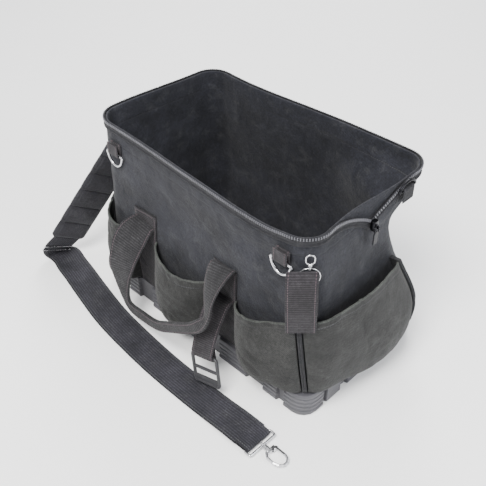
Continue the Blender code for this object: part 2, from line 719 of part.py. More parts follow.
def make_pocket(name, start, end, edges, finish):
    """Open pocket between two edges, each given by its foot and hem runs and its stand-off."""
    *hems, start_belly, end_belly, columns = POCKETS[name]
    hems = [share * HEM_HEIGHT for share in hems]
    bellies = (start_belly * POCKET_DEPTH, end_belly * POCKET_DEPTH)
    inner, outer = [], []
    foot = TRAY_HEIGHT + SEAT + POCKET_CLOTH
    profile = [row[0] for row in POCKET_PROFILE]
    for foot_run in runs_between(start[0], end[0], columns):
        across = (foot_run - start[0]) / (end[0] - start[0])
        hem = hems[0] * (1 - across) ** 2 + hems[2] * across ** 2
        hem += 2 * across * (1 - across) * (2 * hems[1] - (hems[0] + hems[2]) / 2)
        edge = edges[0] * (1 - across) + edges[1] * across
        belly = bellies[0] * (1 - across) + bellies[1] * across
        belly = edge + (belly - edge) * math.sin(math.pi * across) ** 0.6
        full = min(max((0.42 * belly + CLOTH_SEAT - CLEAR_OF_TRAY) / FABRIC, 0.0), 1.0)
        run = start[1] + (end[1] - start[1]) * across
        rim = on_grid(run, 1.0)[2]
        own = [(SHELL_FLOOR + share * (rim - SHELL_FLOOR) - foot) / (hem - foot)
               for share in POCKET_ROWS]
        flat = []
        for rise in profile[:4] + own + [1.0]:
            out = np.interp(rise, profile, [row[1] for row in POCKET_PROFILE])
            drop = np.interp(rise, profile, [row[2] for row in POCKET_PROFILE])
            height = foot + (hem - foot) * rise - POCKET_DROP * drop * full
            flat.append((CLOTH_SEAT + belly * out, height))
        flat = np.array(flat)
        ways = np.gradient(flat, axis=0)
        ways /= np.linalg.norm(ways, axis=1)[:, None]
        skins = flat + np.stack((ways[:, 1], -ways[:, 0]), axis=1) * POCKET_CLOTH
        pair = []
        for skin in (flat, skins):
            column = []
            for out, height in skin:
                rise = min(max((height - foot) / (hem - foot), 0.0), 1.0)
                place = foot_run + (run - foot_run) * rise
                column.append(wall(place, max(height, foot - POCKET_CLOTH), out))
                column[-1][2] = height
            pair.append(column)
        inner.append(pair[0])
        outer.append(pair[1])
    return sheet_solid("pocket_" + name, np.array(inner), np.array(outer), finish)


def make_pockets(cloth):
    back_right, back_left = BACK_MIDDLE - BACK_LEG, BACK_MIDDLE + BACK_LEG
    depth = CORNER_DEPTHS
    rows = (
        ("front_left", beside("front_left", 1, -LOOP_RUN), beside_strip(LEFT_LEG, -1),
         (depth["front_left"], 0.0)),
        ("front_middle", beside_strip(LEFT_LEG, 1), beside_strip(RIGHT_LEG, -1), (0.0, 0.0)),
        ("front_right", beside_strip(RIGHT_LEG, 1), beside("front_right", -1),
         (0.0, depth["front_right"])),
        ("right_end", beside("front_right", 1), beside("back_right", -1),
         (depth["front_right"], depth["back_right"])),
        ("back_right", (BACK_MIDDLE - FRONT_RUN / 2,) * 2, beside_strip(back_right, -1), (0.0, 0.0)),
        ("back_left", beside_strip(back_left, 1), beside("back_left", -1),
         (0.0, depth["back_left"])),
        ("left_end", beside("back_left", 1), beside("front_left", -1),
         (depth["back_left"], depth["front_left"])),
    )
    for name, start, end, edges in rows:
        make_pocket(name, start, end, edges, cloth)


def make_piping(corner, top, belly, finish):
    """Upright rib at a corner that closes the pockets on both sides of it."""
    inner, outer = [], []
    foot = TRAY_HEIGHT + SEAT + POCKET_CLOTH
    slant = PIPING_SLANT if corner == "front_right" else 0.0
    rim = on_grid(CORNERS[corner], 1.0)[2]
    own = [(SHELL_FLOOR + share * (rim - SHELL_FLOOR) - foot) / (top - foot) for share in SHARES]
    profile = [row[0] for row in POCKET_PROFILE]
    for share in sorted(profile[:5] + [rise for rise in own if 0.25 < rise < 0.97] + [1.0]):
        height = foot + (top - foot) * share
        run = CORNERS[corner] - slant * share
        depth = belly * np.interp(share, profile, [row[1] for row in POCKET_PROFILE])
        facing = np.array((*facing_at(run), 0.0))
        sides = [wall(run + side * PIPING_WIDTH / 2, height) - wall(run, height) for side in (-1, 1)]
        seat = CLOTH_SEAT + max(0.0, *(np.dot(side, facing) for side in sides))
        inner.append(wall(run, height, seat))
        outer.append(wall(run, height, seat + depth + POCKET_CLOTH + PIPING_PROUD))
    return ribbon("piping_" + corner, inner, outer, PIPING_WIDTH, finish)


def make_pipings(trim):
    for corner, top in PIPING_TOPS.items():
        make_piping(corner, top, CORNER_DEPTHS[corner], trim)


def make_strip(name, leg, seat, finish):
    """Webbing sewn up the wall under a handle leg."""
    inner, outer = [], []
    foot = TRAY_HEIGHT + 2 * SEAT
    kept = sorted([share for share in SHARES if 0.2 < share < 0.6] + [STRIP_ROW])
    for run in runs_between(leg - WEBBING / 2, leg + WEBBING / 2, 3):
        rim = on_grid(run, 1.0)[2]
        rows = [foot] + [SHELL_FLOOR + share * (rim - SHELL_FLOOR) for share in kept] + [STRIP_TOP]
        inner.append([wall(run, height, seat) for height in rows])
        outer.append([wall(run, height, seat + WEBBING_THICK) for height in rows])
    return sheet_solid(name, np.array(inner), np.array(outer), finish)


def make_handle(name, middle, rows, finish):
    """Handle from wall to wall: x, reach and height shares of both edges, and thickness share."""
    stack = CLOTH_SEAT + WEBBING_THICK + SEAT
    edges = [[], []]
    for row in smooth_rows(rows, 2):
        for edge in (0, 1):
            along, reach, rise = row[3 * edge:3 * edge + 3]
            place = middle + along * HANDLE_SPREAD
            edges[edge].append(wall(place, rise * HANDLE_RISE, stack + reach * HANDLE_REACH))
    thick = [row[6] * HANDLE_THICK for row in smooth_rows(rows, 2)]
    return ribbon(name, edges[0], edges[1], thick, finish)


def ring_and_tab(name, run, bar, stand, drop, way, swing, ring_finish, tab_finish):
    """Ring held by a webbing tab folded round its bar: way 1 hangs below, -1 stands above."""
    width = RING_WIDTH
    facing, height = np.array((*facing_at(run), 0.0)), bar
    along = np.array((-facing[1], facing[0], 0.0))
    up = np.array((0.0, 0.0, 1.0)) * way
    reach = RING_WIRE / 2 + SEAT + TAB_THICK / 2
    heights = (bar - way * reach, bar, bar + way * TAB_TAIL)
    spots = [run - TAB_WIDTH / 2, run, run + TAB_WIDTH / 2]
    line = max(np.dot(wall(spot, level, stand), facing) for spot in spots for level in heights)
    plane = line + TAB_THICK + SEAT + RING_WIRE / 2
    centre = along * np.dot(wall(run, height, 0.0), along) + facing * plane
    centre = centre + np.array((0.0, 0.0, bar))
    flat = [(-width / 2, 0.0), (width / 2, 0.0)]
    flat += [(width / 2 * math.cos(turn), -drop * math.sin(turn))
             for turn in np.linspace(RING_SHOULDER, math.pi - RING_SHOULDER, 7)]
    flat = [flat[0], (0.0, 0.0)] + flat[1:]
    lean = up * math.cos(swing) - facing * math.sin(swing)
    flat_loop(name, placed(flat, centre, along, lean), np.cross(along, lean), RING_WIRE, 6,
              ring_finish)
    path = [(TAB_TAIL, -1.0), (TAB_TAIL / 2, -1.0), (0.0, -1.0)]
    path += [(-math.sin(turn), -math.cos(turn)) for turn in np.linspace(0.0, math.pi, 5)[1:-1]]
    path += [(0.0, 1.0), (TAB_TAIL / 2, 1.0), (TAB_TAIL, 1.0)]
    middle = []
    for rise, out in path:
        rise = rise if rise in (0.0, TAB_TAIL / 2, TAB_TAIL) else rise * reach
        middle.append(centre + up * rise + facing * out * reach)
    band(name + "_tab", middle, along, TAB_WIDTH, TAB_THICK, tab_finish)
    return centre - lean * drop


def make_corner_loop(finish):
    """Webbing loop folded at its top and sewn down over the corner, as two hanging layers."""
    front = CLOTH_SEAT + POCKET_CLOTH + PIPING_PROUD + SEAT + LOOP_THICK / 2
    front += CORNER_DEPTHS["front_right"] * LOOP_FOOT_SHARE
    back = CLOTH_SEAT + LOOP_THICK / 2 + LOOP_BACK
    rows = ((front, LOOP_FOOT), (front + 0.004, LOOP_FOOT + 0.030), (front + 0.004, LOOP_TOP - 0.030),
            (front + 0.002, LOOP_TOP - 0.008), ((front + back) / 2, LOOP_TOP),
            (back + 0.001, LOOP_TOP - 0.008), (back, LOOP_TOP - 0.035), (back, LOOP_FOOT + 0.018))
    middle = CORNERS["front_right"] - LOOP_SHIFT
    line, facing = [], np.array((*facing_at(CORNERS["front_right"]), 0.0))
    along = np.array((-facing[1], facing[0], 0.0))
    for out, height in smooth_rows(rows, 3):
        line.append(wall(middle, height, out))
    return band("corner_loop", line, along, LOOP_WIDTH, LOOP_THICK, finish)


def make_corner_clip(ring_finish, clip_finish):
    """Thin wire ring lying behind the corner loop's top, with a small clip on it."""
    facing = np.array((*facing_at(CORNERS["front_right"]), 0.0))
    along = np.array((-facing[1], facing[0], 0.0))
    up = np.array((0.0, 0.0, 1.0))
    centre = wall(CORNERS["front_right"], CLIP_RING_RISE, CLIP_RING_STAND)
    turns = np.linspace(0.0, 2 * math.pi, 17)[:-1]
    flat = [(CLIP_RING / 2 * math.cos(turn), CLIP_RING / 2 * math.sin(turn)) for turn in turns]
    flat_loop("corner_ring", placed(flat, centre, along, up), facing, CLIP_RING_WIRE, 5, ring_finish)
    link = CLIP_RING_WIRE + 2 * SEAT + CLIP_WIRE
    top = centre + up * (CLIP_RING / 2)
    eye_turns = np.linspace(0.0, 2 * math.pi, 9)[:-1]
    eye_flat = [(link / 2 * math.cos(turn), link / 2 * math.sin(turn)) for turn in eye_turns]
    clip = flat_loop("corner_clip", placed(eye_flat, top, facing, up), along, CLIP_WIRE, 6, clip_finish)
    neck = top + up * (link / 2)
    knob = cylinder("clip_knob", neck, neck + up * CLIP_KNOB, CLIP_KNOB / 2, 8, clip_finish)
    loop_flat = rounded_loop(CLIP_LENGTH, 2 * CLIP_KNOB, CLIP_KNOB * 0.9, 3)
    loop_centre = neck + up * (CLIP_KNOB + CLIP_LENGTH / 2 - CLIP_WIRE / 2)
    bow = flat_loop("clip_bow", placed(loop_flat, loop_centre, up, along), facing, CLIP_WIRE, 6,
                    clip_finish)
    return combine(clip, (knob, bow))


def fold_rows(bar, heading, normal, radius, tail):
    """Middle line of webbing that comes along the heading and folds back under a bar."""
    rows = [bar + normal * radius - heading * tail / 3, bar + normal * radius]
    rows += [bar + radius * (normal * math.cos(turn) + heading * math.sin(turn))
             for turn in np.linspace(0.0, math.pi, 6)[1:-1]]
    rows += [bar - normal * radius, bar - normal * radius - heading * tail]
    return rows


def make_buckle_strap(strap_finish, buckle_finish):
    """Webbing that hangs from the right strip and folds round the bar of a slide buckle."""
    across = unit(BUCKLE_ACROSS)
    heading = unit(np.array(BUCKLE_DOWN) - across * np.dot(BUCKLE_DOWN, across))
    normal = np.cross(across, heading)
    normal = normal if normal[1] < 0 else -normal
    bar = np.array(BUCKLE_BAR)
    start = wall(RIGHT_LEG, BUCKLE_RISE, CLOTH_SEAT + WEBBING_THICK + SEAT)
    radius = BUCKLE_WIRE / 2 + SEAT + STRAP_THICK / 2
    fold = fold_rows(bar, heading, normal, radius, BUCKLE_TAIL)
    leave = start + np.array(BUCKLE_LEAVE)
    rows = smooth_rows([start, leave, (leave + fold[0]) / 2 + normal * BUCKLE_SAG, fold[0]], 3)
    line = list(rows[:-1]) + fold
    ways = []
    for index in range(len(line)):
        share = min(index / (len(rows) - 1), 1.0)
        ways.append(np.array((1.0, 0.0, 0.0)) * (1 - share) + across * share)
    band("buckle_strap", line, ways, BUCKLE_STRAP, STRAP_THICK, strap_finish)
    wide = BUCKLE_STRAP + 2 * LINK_CLEAR + BUCKLE_WIRE
    frame_flat = rounded_loop(BUCKLE_LENGTH, wide, BUCKLE_WIRE / 2, 2)
    centre = bar + heading * BUCKLE_LENGTH / 2
    buckle = flat_loop("slide_buckle", placed(frame_flat, centre, heading, across), normal,
                       BUCKLE_WIRE, 6, buckle_finish)
    side = across * (wide / 2)
    cross_bar = cylinder("buckle_bar", centre - side, centre + side, BUCKLE_WIRE / 2, 6, buckle_finish)
    return combine(buckle, (cross_bar,))


def make_strap(ring_low, webbing, pad_finish, steel):
    """Shoulder strap: left hook and loop, upper webbing, pad, lower webbing and right loop."""
    land = np.array(PAD_LAND)
    down = unit(land - ring_low)
    across = unit(np.array(PAD_ACROSS) - down * np.dot(PAD_ACROSS, down))
    normal = np.cross(across, down)
    grip = (RING_WIRE + STRAP_LOOP_WIRE) / 2 + LINK_CLEAR
    middle = ring_low + down * (LEFT_HOOK / 2 - grip)
    hook_flat = rounded_loop(LEFT_HOOK, LEFT_HOOK_WIDTH, LEFT_HOOK_WIDTH * 0.48, 3)
    flat_loop("left_hook", placed(hook_flat, middle, down, normal), across, STRAP_LOOP_WIRE, 6, steel)
    upper_bar = middle + down * (LEFT_HOOK / 2 - STRAP_LOOP_WIRE - SEAT)
    lower_bar = upper_bar + down * STRAP_LOOP_DEPTH
    make_strap_loop("left_loop", upper_bar + down * STRAP_LOOP_DEPTH / 2, down, across, steel)
    radius = STRAP_LOOP_WIRE / 2 + SEAT + STRAP_THICK / 2
    fold = fold_rows(lower_bar, -down, normal, radius, LEFT_TAIL)
    pad_top = lower_bar + down * LEFT_TAIL * 1.4
    line = [pad_top - down * SEAT] + fold
    line[1] = lower_bar + down * LEFT_TAIL * 0.7 + normal * radius * 0.7
    band("strap_upper", line, across, STRAP_NECK, STRAP_THICK, webbing)
    count = 2 * PAD_PARTS + 1
    spine = [pad_top + (land - pad_top) * step / (count - 1) for step in range(count)]
    depths = [PAD_THICK * (1.0 if step % 2 else PAD_SEAM) for step in range(count)]
    band("strap_pad", spine, across, PAD_WIDTH, depths, pad_finish)
    rows = [(land + down * SEAT, across)]
    for along, lane, rise, tilt in STRAP_ROWS:
        point = np.array((along * BASE_LENGTH / 2, lane * STRAP_LANE, rise * STRAP_THICK))
        rows.append((point, across * tilt + np.array((-0.15, -1.0, 0.0)) * (1 - tilt)))
    bar = np.array((STRAP_END, STRAP_LANE, radius + STRAP_THICK / 2))
    centres = [row[0] for row in rows]
    ways = [row[1] for row in rows]
    heading, up = np.array((1.0, 0.0, 0.0)), np.array((0.0, 0.0, 1.0))
    fold = fold_rows(bar, heading, up, radius, STRAP_TAIL)
    centres += fold
    ways += [np.array((0.0, -1.0, 0.0))] * len(fold)
    widths = np.full(len(centres), STRAP_WIDTH)
    widths[len(rows):] = STRAP_NECK
    ways = np.array([unit(way) for way in ways])
    half = ways * widths[:, None] / 2
    ribbon("strap_lower", np.array(centres) - half, np.array(centres) + half, STRAP_THICK, webbing)
    make_strap_loop("right_loop", bar + heading * STRAP_LOOP_DEPTH / 2, heading,
                    np.array((0.0, 1.0, 0.0)), steel)
    return bar + heading * STRAP_LOOP_DEPTH


def make_strap_loop(name, centre, heading, across, steel):
    flat = rounded_loop(STRAP_LOOP_DEPTH, STRAP_NECK + 2 * SEAT + STRAP_LOOP_WIRE,
                        STRAP_LOOP_WIRE * 0.7, 2)
    flat_loop(name, placed(flat, centre, heading, across), np.cross(heading, across),
              STRAP_LOOP_WIRE, 6, steel)


def make_hook(bar, steel):
    """Swivel eye with its pin, the hook that turns on the pin, and the hook's gate."""
    heading, side, up = np.eye(3)
    eye_reach = STRAP_LOOP_WIRE / 2 + SEAT + EYE_WIRE / 2
    turns = np.linspace(0.0, 2 * math.pi, 11)[:-1]
    flat = [(eye_reach * math.cos(turn), eye_reach * math.sin(turn)) for turn in turns]
    eye = flat_loop("swivel_eye", placed(flat, bar, heading, up), side, EYE_WIRE, 6, steel)
    collar = bar + heading * eye_reach
    stop = collar + heading * COLLAR
    base_end = stop + heading * (SEAT + HOOK_BASE)
    pin_end = base_end + heading * SEAT
    parts = (
        cylinder("eye_collar", collar, stop, HOOK_BARREL / 2, 12, steel),
        cylinder("eye_pin", collar, pin_end + heading * PIN_HEAD / 2, PIN_RADIUS, 12, steel),
        cylinder("eye_pin_head", pin_end, pin_end + heading * PIN_HEAD, PIN_RADIUS * PIN_SPREAD, 12, steel),
    )
    combine(eye, parts)
    base = stop + heading * SEAT
    hook = cylinder("hook_body", base, base + heading * HOOK_BASE, HOOK_BARREL / 2, 12, steel)
    bow = [base + heading * along * HOOK_REACH + side * out * HOOK_WIDTH for along, out in HOOK_BOW]
    bow_solid = flat_loop("hook_bow", bow, up, HOOK_WIRE, 8, steel, closed=False)
    pivot = base + heading * GATE_PLACE[0] * HOOK_REACH + side * GATE_PLACE[1] * HOOK_WIDTH
    shelf = bar[2] - GATE_THICK / 2 - SEAT
    low = up * (GATE_THICK / 2 + SEAT + CHEEK_THICK / 2)
    cheek_ends = (base + heading * HOOK_BASE / 2 + side * HOOK_BARREL * 0.34, pivot)
    cheek = block("hook_cheek",
                  (cheek_ends[0][0] - CHEEK / 2, cheek_ends[0][1], shelf - CHEEK_THICK),
                  (pivot[0] + CHEEK / 2, pivot[1] + CHEEK / 2, shelf), steel)
    post = cylinder("hook_post", pivot - low, pivot + up * GATE_THICK / 2, POST_RADIUS, 10, steel)
    combine(hook, (bow_solid, cheek, post))
    bore = cylinder("hook_bore", base - heading * SEAT, base + heading * (HOOK_BASE + SEAT),
                    PIN_RADIUS + SEAT, 12, steel)
    combine(hook, (bore,), "DIFFERENCE")
    nose = base + heading * HOOK_BOW[-1][0] * HOOK_REACH + side * HOOK_BOW[-1][1] * HOOK_WIDTH
    reach = np.linalg.norm(nose - pivot) - SEAT * 1.5
    gate = cylinder("hook_gate", pivot - up * GATE_THICK / 2, pivot + up * GATE_THICK / 2,
                    POST_RADIUS + SEAT + GATE_WALL, 12, steel)
    way = unit(nose - pivot)
    lean = np.cross(up, way) * GATE_THICK / 2
    rings = []
    for point in (pivot + way * (POST_RADIUS + SEAT + GATE_WALL / 2), pivot + way * reach):
        rings.append([point + lean + up * GATE_THICK / 2, point - lean + up * GATE_THICK / 2,
                      point - lean - up * GATE_THICK / 2, point + lean - up * GATE_THICK / 2])
    arm = ring_solid("gate_arm", rings, steel)
    combine(gate, (arm,))
    eye_hole = cylinder("gate_bore", pivot - up * GATE_THICK, pivot + up * GATE_THICK,
                        POST_RADIUS + SEAT, 12, steel)
    combine(gate, (eye_hole,), "DIFFERENCE")
    return hook


def make_zip(tape, metal):
    """Both zip tapes, the slider at the bottom of their dip, and its pull."""
    place = RIGHT_MIDDLE + ZIP_PLACE
    make_tape("zip_tape_front", LEFT_MIDDLE - LOOP_RUN + SEAT, place - SEAT, tape)
    make_tape("zip_tape_back", place + SEAT, LEFT_MIDDLE - SEAT, tape)
    deep, wide, tall = SLIDER_SIZE
    rise = on_grid(place, 1.0)[2] + TAPE_PROUD - ZIP_DROP - TAPE_WIDTH * 0.4
    spots = [tape_edges(place + side * wide / 2) for side in (-1, 0, 1)]
    back = max(edge[0] for pair in spots for edge in pair) + TAPE_THICK / 2 + SEAT
    y = wall(place, rise)[1]
    face = back + deep
    slider = block("zip_slider", (back, y - wide / 2, rise - tall / 2),
                   (face, y + wide / 2, rise + tall / 2), metal)
    arch_reach = PULL_THICK + 2 * SEAT + BAIL_WIRE / 2
    half = PULL_THICK / 2 + SEAT + BAIL_WIRE / 2
    arch = [(face - BAIL_WIRE / 2, half), (face + arch_reach * 0.7, half),
            (face + arch_reach, half * 0.55), (face + arch_reach, -half * 0.55),
            (face + arch_reach * 0.7, -half), (face - BAIL_WIRE / 2, -half)]
    bail = flat_loop("slider_bail", [(x, y, rise + z) for x, z in arch], (0.0, 1.0, 0.0),
                     BAIL_WIRE, 6, metal, closed=False)
    combine(slider, (bail,))
    flat = rounded_loop(PULL_LENGTH, PULL_WIDTH, PULL_THICK, 2)
    centre = (face + SEAT + PULL_THICK / 2, y, rise - PULL_LENGTH / 2)
    flat_loop("zip_pull", placed(flat, centre, (0.0, 0.0, 1.0), (0.0, 1.0, 0.0)), (1.0, 0.0, 0.0),
              PULL_THICK, 6, metal)
    return slider


def materials():
    """Every finish used, by name."""
    rows = (
        ("shell_cloth", (0.065, 0.072, 0.085), 0.85, 0.0),
        ("pocket_cloth", (0.080, 0.086, 0.080), 0.88, 0.0),
        ("webbing", (0.075, 0.068, 0.080), 0.80, 0.0),
        ("trim", (0.020, 0.020, 0.024), 0.70, 0.0),
        ("tray_plastic", (0.200, 0.190, 0.220), 0.60, 0.0),
        ("pad_cloth", (0.090, 0.090, 0.095), 0.85, 0.0),
        ("dark_plastic", (0.050, 0.050, 0.052), 0.50, 0.0),
        ("steel", (0.600, 0.600, 0.620), 0.25, 1.0),
        ("black_steel", (0.030, 0.030, 0.032), 0.40, 1.0),
    )
    return {name: material(name, colour, rough, metal) for name, colour, rough, metal in rows}


def main():
    clear_scene()
    finish = materials()
    make_tray(finish["tray_plastic"])
    make_shell(finish["shell_cloth"])
    make_zip(finish["trim"], finish["black_steel"])
    make_pockets(finish["pocket_cloth"])
    make_pipings(finish["trim"])
    cloth = finish["webbing"]
    make_strip("strip_front_left", LEFT_LEG, CLOTH_SEAT, cloth)
    make_strip("strip_front_right", RIGHT_LEG, CLOTH_SEAT, cloth)
    make_strip("strip_back_right", BACK_MIDDLE - BACK_LEG, PINCH_SEAT, cloth)
    make_strip("strip_back_left", BACK_MIDDLE + BACK_LEG, CLOTH_SEAT, cloth)
    make_handle("handle_front", (LEFT_LEG + RIGHT_LEG) / 2, FRONT_HANDLE, finish["pocket_cloth"])
    make_handle("handle_back", BACK_MIDDLE, BACK_HANDLE, finish["pocket_cloth"])
    for name, run in (("front_ring_left", -FRONT_RING_PLACE), ("front_ring_right", FRONT_RING_PLACE)):
        ring_and_tab(name, run, FRONT_RING_RISE, CLOTH_SEAT, RING_DROP, 1, 0.0,
                     finish["steel"], cloth)
    ring_and_tab("end_ring_right", RIGHT_MIDDLE + RIGHT_RING_PLACE, RIGHT_RING_RISE,
                 CLOTH_SEAT + TAPE_THICK + SEAT, RIGHT_RING_DROP, -1, 0.0,
                 finish["black_steel"], finish["trim"])
    low = ring_and_tab("end_ring_left", LEFT_MIDDLE - LEFT_RING_PLACE, END_RING_RISE,
                       CLOTH_SEAT, RING_DROP, 1, END_RING_SWING, finish["steel"], cloth)
    make_corner_loop(cloth)
    make_corner_clip(finish["steel"], finish["steel"])
    make_buckle_strap(cloth, finish["dark_plastic"])
    bar = make_strap(low, cloth, finish["pad_cloth"], finish["steel"])
    make_hook(bar, finish["steel"])


main()
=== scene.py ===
"""Looks of the open tool bag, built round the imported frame, in metres with +Z up.

Places round the bag are given as a run: metres along the shell's base outline, counted from
the middle of the front side towards the right end, as in the frame's own making.
"""
import math

import bmesh
import bpy
import numpy as np
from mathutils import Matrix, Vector, noise


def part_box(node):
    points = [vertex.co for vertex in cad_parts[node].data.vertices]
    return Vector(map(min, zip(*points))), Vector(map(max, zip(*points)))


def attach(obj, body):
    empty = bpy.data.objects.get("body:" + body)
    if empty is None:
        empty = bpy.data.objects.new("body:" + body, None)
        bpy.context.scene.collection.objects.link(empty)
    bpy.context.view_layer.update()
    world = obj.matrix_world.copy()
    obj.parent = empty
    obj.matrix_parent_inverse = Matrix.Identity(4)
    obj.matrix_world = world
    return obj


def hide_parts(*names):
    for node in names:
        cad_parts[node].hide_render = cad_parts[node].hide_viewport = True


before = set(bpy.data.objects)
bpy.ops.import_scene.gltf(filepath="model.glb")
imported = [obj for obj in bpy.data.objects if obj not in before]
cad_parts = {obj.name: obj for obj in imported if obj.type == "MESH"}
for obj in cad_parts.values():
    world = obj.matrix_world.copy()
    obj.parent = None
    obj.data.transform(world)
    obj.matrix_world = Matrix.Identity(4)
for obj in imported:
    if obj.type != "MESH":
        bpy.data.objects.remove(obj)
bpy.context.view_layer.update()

# Driving dimensions
SEAT = 0.0004  # gap kept between pieces that touch
CLOTH_SEAT = 0.0009  # gap kept between the shell and the cloth sewn on it
PINCH_SEAT = 0.0014  # the same gap where the strip lies over the pinch's folds
BASE_LENGTH = 0.396
BASE_WIDTH = 0.228
BASE_CORNER = 0.018
SHELL_CORNER = 0.0306
TRAY_HEIGHT = 0.038
TRAY_WALL = 0.003
TRAY_FLOOR = 0.004
CLEAT_PROUD = 0.0055
CLEAT_RAMP = 0.002
RIB_DEPTH = 0.0016
RIB_COUNT = 4
FOOT_REACH = 0.014  # how far a corner foot runs on past its corner
MOUTH_LENGTH = BASE_LENGTH - 0.018
MOUTH_WIDTH = BASE_WIDTH - 0.008
RIM_HEIGHT = 0.284
RIM_WAVE = 0.006
FABRIC = 0.003
SIDE_BULGE = 0.004
PINCH = 0.042  # how far the wall behind the right end sinks in under the rim
TAPE_WIDTH = 0.013
TAPE_THICK = 0.0016
TAPE_PROUD = 0.003  # how far the zip tape stands above the rim
ZIP_DROP = 0.026
ZIP_PLACE = -0.001  # the slider's place across the right end
ZIP_FLARE = 0.002
SLIDER_SIZE = (0.006, 0.010, 0.014)
PULL_LENGTH = 0.026
PULL_WIDTH = 0.008
PULL_THICK = 0.0016
BAIL_WIRE = 0.0022
PIPING_WIDTH = 0.006
PIPING_PROUD = 0.0015
PIPING_SLANT = 0.009
POCKET_CLOTH = 0.002
POCKET_DEPTH = 0.040
HEM_HEIGHT = 0.150
POCKET_DROP = 0.011  # how far a full pocket hangs below the tray's top edge
WEBBING = 0.044
WEBBING_THICK = 0.002
LEFT_LEG = -0.262626 * BASE_LENGTH  # middle of the front handle's left leg, along the front
RIGHT_LEG = 0.142677 * BASE_LENGTH
BACK_LEG = 0.202020 * BASE_LENGTH
HANDLE_SPREAD = 0.252525 * BASE_LENGTH
HANDLE_REACH = 0.055
HANDLE_RISE = 0.584507 * RIM_HEIGHT
HANDLE_THICK = 0.0026
RING_WIRE = 0.0034
RING_WIDTH = 0.030
RING_DROP = 0.019
RING_SHOULDER = 0.22  # turn at which a ring's bow leaves its bar, in radians
TAB_WIDTH = 0.022
TAB_THICK = 0.0014
TAB_TAIL = 0.016
FRONT_RING_IN = 0.032  # how far a front ring sits in from the corner piping
FRONT_RING_RISE = RIM_HEIGHT - 0.038
END_RING_RISE = RIM_HEIGHT - 0.028
END_RING_SWING = 0.65  # how far the left end ring is pulled out by the strap, in radians
LINK_CLEAR = 0.0014
RIGHT_RING_PLACE = 0.056  # the right end ring's place across its end
LEFT_RING_PLACE = -0.020
LOOP_WIDTH = 0.037
LOOP_THICK = 0.0026
LOOP_TOP = RIM_HEIGHT - 0.039
LOOP_FOOT = 0.157
LOOP_FOOT_SHARE = 0.86  # share of the corner's depth that the piping keeps at the loop's foot
BUCKLE_STRAP = 0.040
BUCKLE_LENGTH = 0.042
STRAP_WIDTH = 0.048
STRAP_THICK = 0.0024
STRAP_END = 0.458333 * BASE_LENGTH  # where the strap folds round its loop
STRAP_TAIL = 0.055
STRAP_LANE = -0.185  # middle of the strap where it lies on the floor
PAD_WIDTH = 0.060
PAD_THICK = 0.011
PAD_LAND = (-0.280, -0.140, 0.042)  # middle of the pad's lower end
STRAP_LOOP_WIRE = 0.003
STRAP_LOOP_DEPTH = 0.010

END_PIPING_REACH = 0.004  # how far past the right end's straight part its rear piping stands
STRIP_TOP = 0.619718 * RIM_HEIGHT
LOOP_BACK = 0.0060  # how far the loop's back layer stands off the wall
LOOP_SHIFT = 0.006  # how far the loop sits towards the front from the corner's middle
CLIP_RING = 0.025
CLIP_RING_WIRE = 0.0014
CLIP_WIRE = 0.0018
CLIP_KNOB = 0.005
CLIP_LENGTH = 0.013
BUCKLE_RISE = 0.126
BUCKLE_ACROSS = (0.95, 0.05, 0.30)
BUCKLE_DOWN = (0.0, -0.16, -0.98)
BUCKLE_BAR = (RIGHT_LEG + 0.0075, -0.1640, 0.0540)
BUCKLE_WIRE = 0.0032
BUCKLE_TAIL = 0.014
BUCKLE_SAG = 0.004
BUCKLE_LEAVE = (0.001, -0.012, -0.004)  # how the strap comes off the wall
STRAP_NECK = 0.042  # width of the strap where it folds through a loop
PAD_ACROSS = (-0.108, -0.830, 0.547)
PAD_PARTS = 6
LEFT_HOOK = 0.030
LEFT_HOOK_WIDTH = 0.011
LEFT_TAIL = 0.010
RIGHT_RING_RISE = RIM_HEIGHT - 0.005
RIGHT_RING_DROP = 0.0100

# Sizes worked out from the ones above
SHELL_LENGTH = BASE_LENGTH - 2 * (TRAY_WALL + SEAT)
SHELL_WIDTH = BASE_WIDTH - 2 * (TRAY_WALL + SEAT)
SHELL_FLOOR = TRAY_FLOOR + SEAT
FRONT_RUN = SHELL_LENGTH - 2 * SHELL_CORNER
END_RUN = SHELL_WIDTH - 2 * SHELL_CORNER
ARC_RUN = SHELL_CORNER * math.pi / 2
LOOP_RUN = 2 * (FRONT_RUN + END_RUN) + 4 * ARC_RUN
RIGHT_MIDDLE = FRONT_RUN / 2 + ARC_RUN + END_RUN / 2
BACK_MIDDLE = LOOP_RUN / 2
LEFT_MIDDLE = LOOP_RUN - RIGHT_MIDDLE
CORNERS = {
    "front_right": (FRONT_RUN + ARC_RUN) / 2,
    "back_right": FRONT_RUN / 2 + ARC_RUN + END_RUN + END_PIPING_REACH,
    "back_left": LOOP_RUN - (FRONT_RUN + ARC_RUN) / 2 - ARC_RUN - END_RUN,
    "front_left": LOOP_RUN - (FRONT_RUN + ARC_RUN) / 2,
}
FRONT_RING_PLACE = CORNERS["front_right"] - FRONT_RING_IN
CLEAR_OF_TRAY = TRAY_WALL + SEAT + CLEAT_PROUD + POCKET_CLOTH + SEAT

# How far the pipings, and the pocket edges beside them, stand off the shell
CORNER_DEPTHS = {"front_right": 0.010, "back_right": 0.018, "back_left": 0.006, "front_left": 0.002}

PIPING_TOPS = {"front_right": 0.166, "back_right": 0.168, "back_left": 0.155, "front_left": 0.150}

# Upright sections of the shell: height share, taper share, bulge share
SECTIONS = (
    (0.00, 0.00, 0.0),
    (0.12, 0.05, 0.0),
    (0.26, 0.25, 0.7),
    (0.42, 0.45, 1.0),
    (0.58, 0.62, 0.8),
    (0.72, 0.76, 0.4),
    (0.84, 0.88, 0.2),
    (0.93, 0.95, 0.0),
    (1.00, 1.00, 0.0),
)

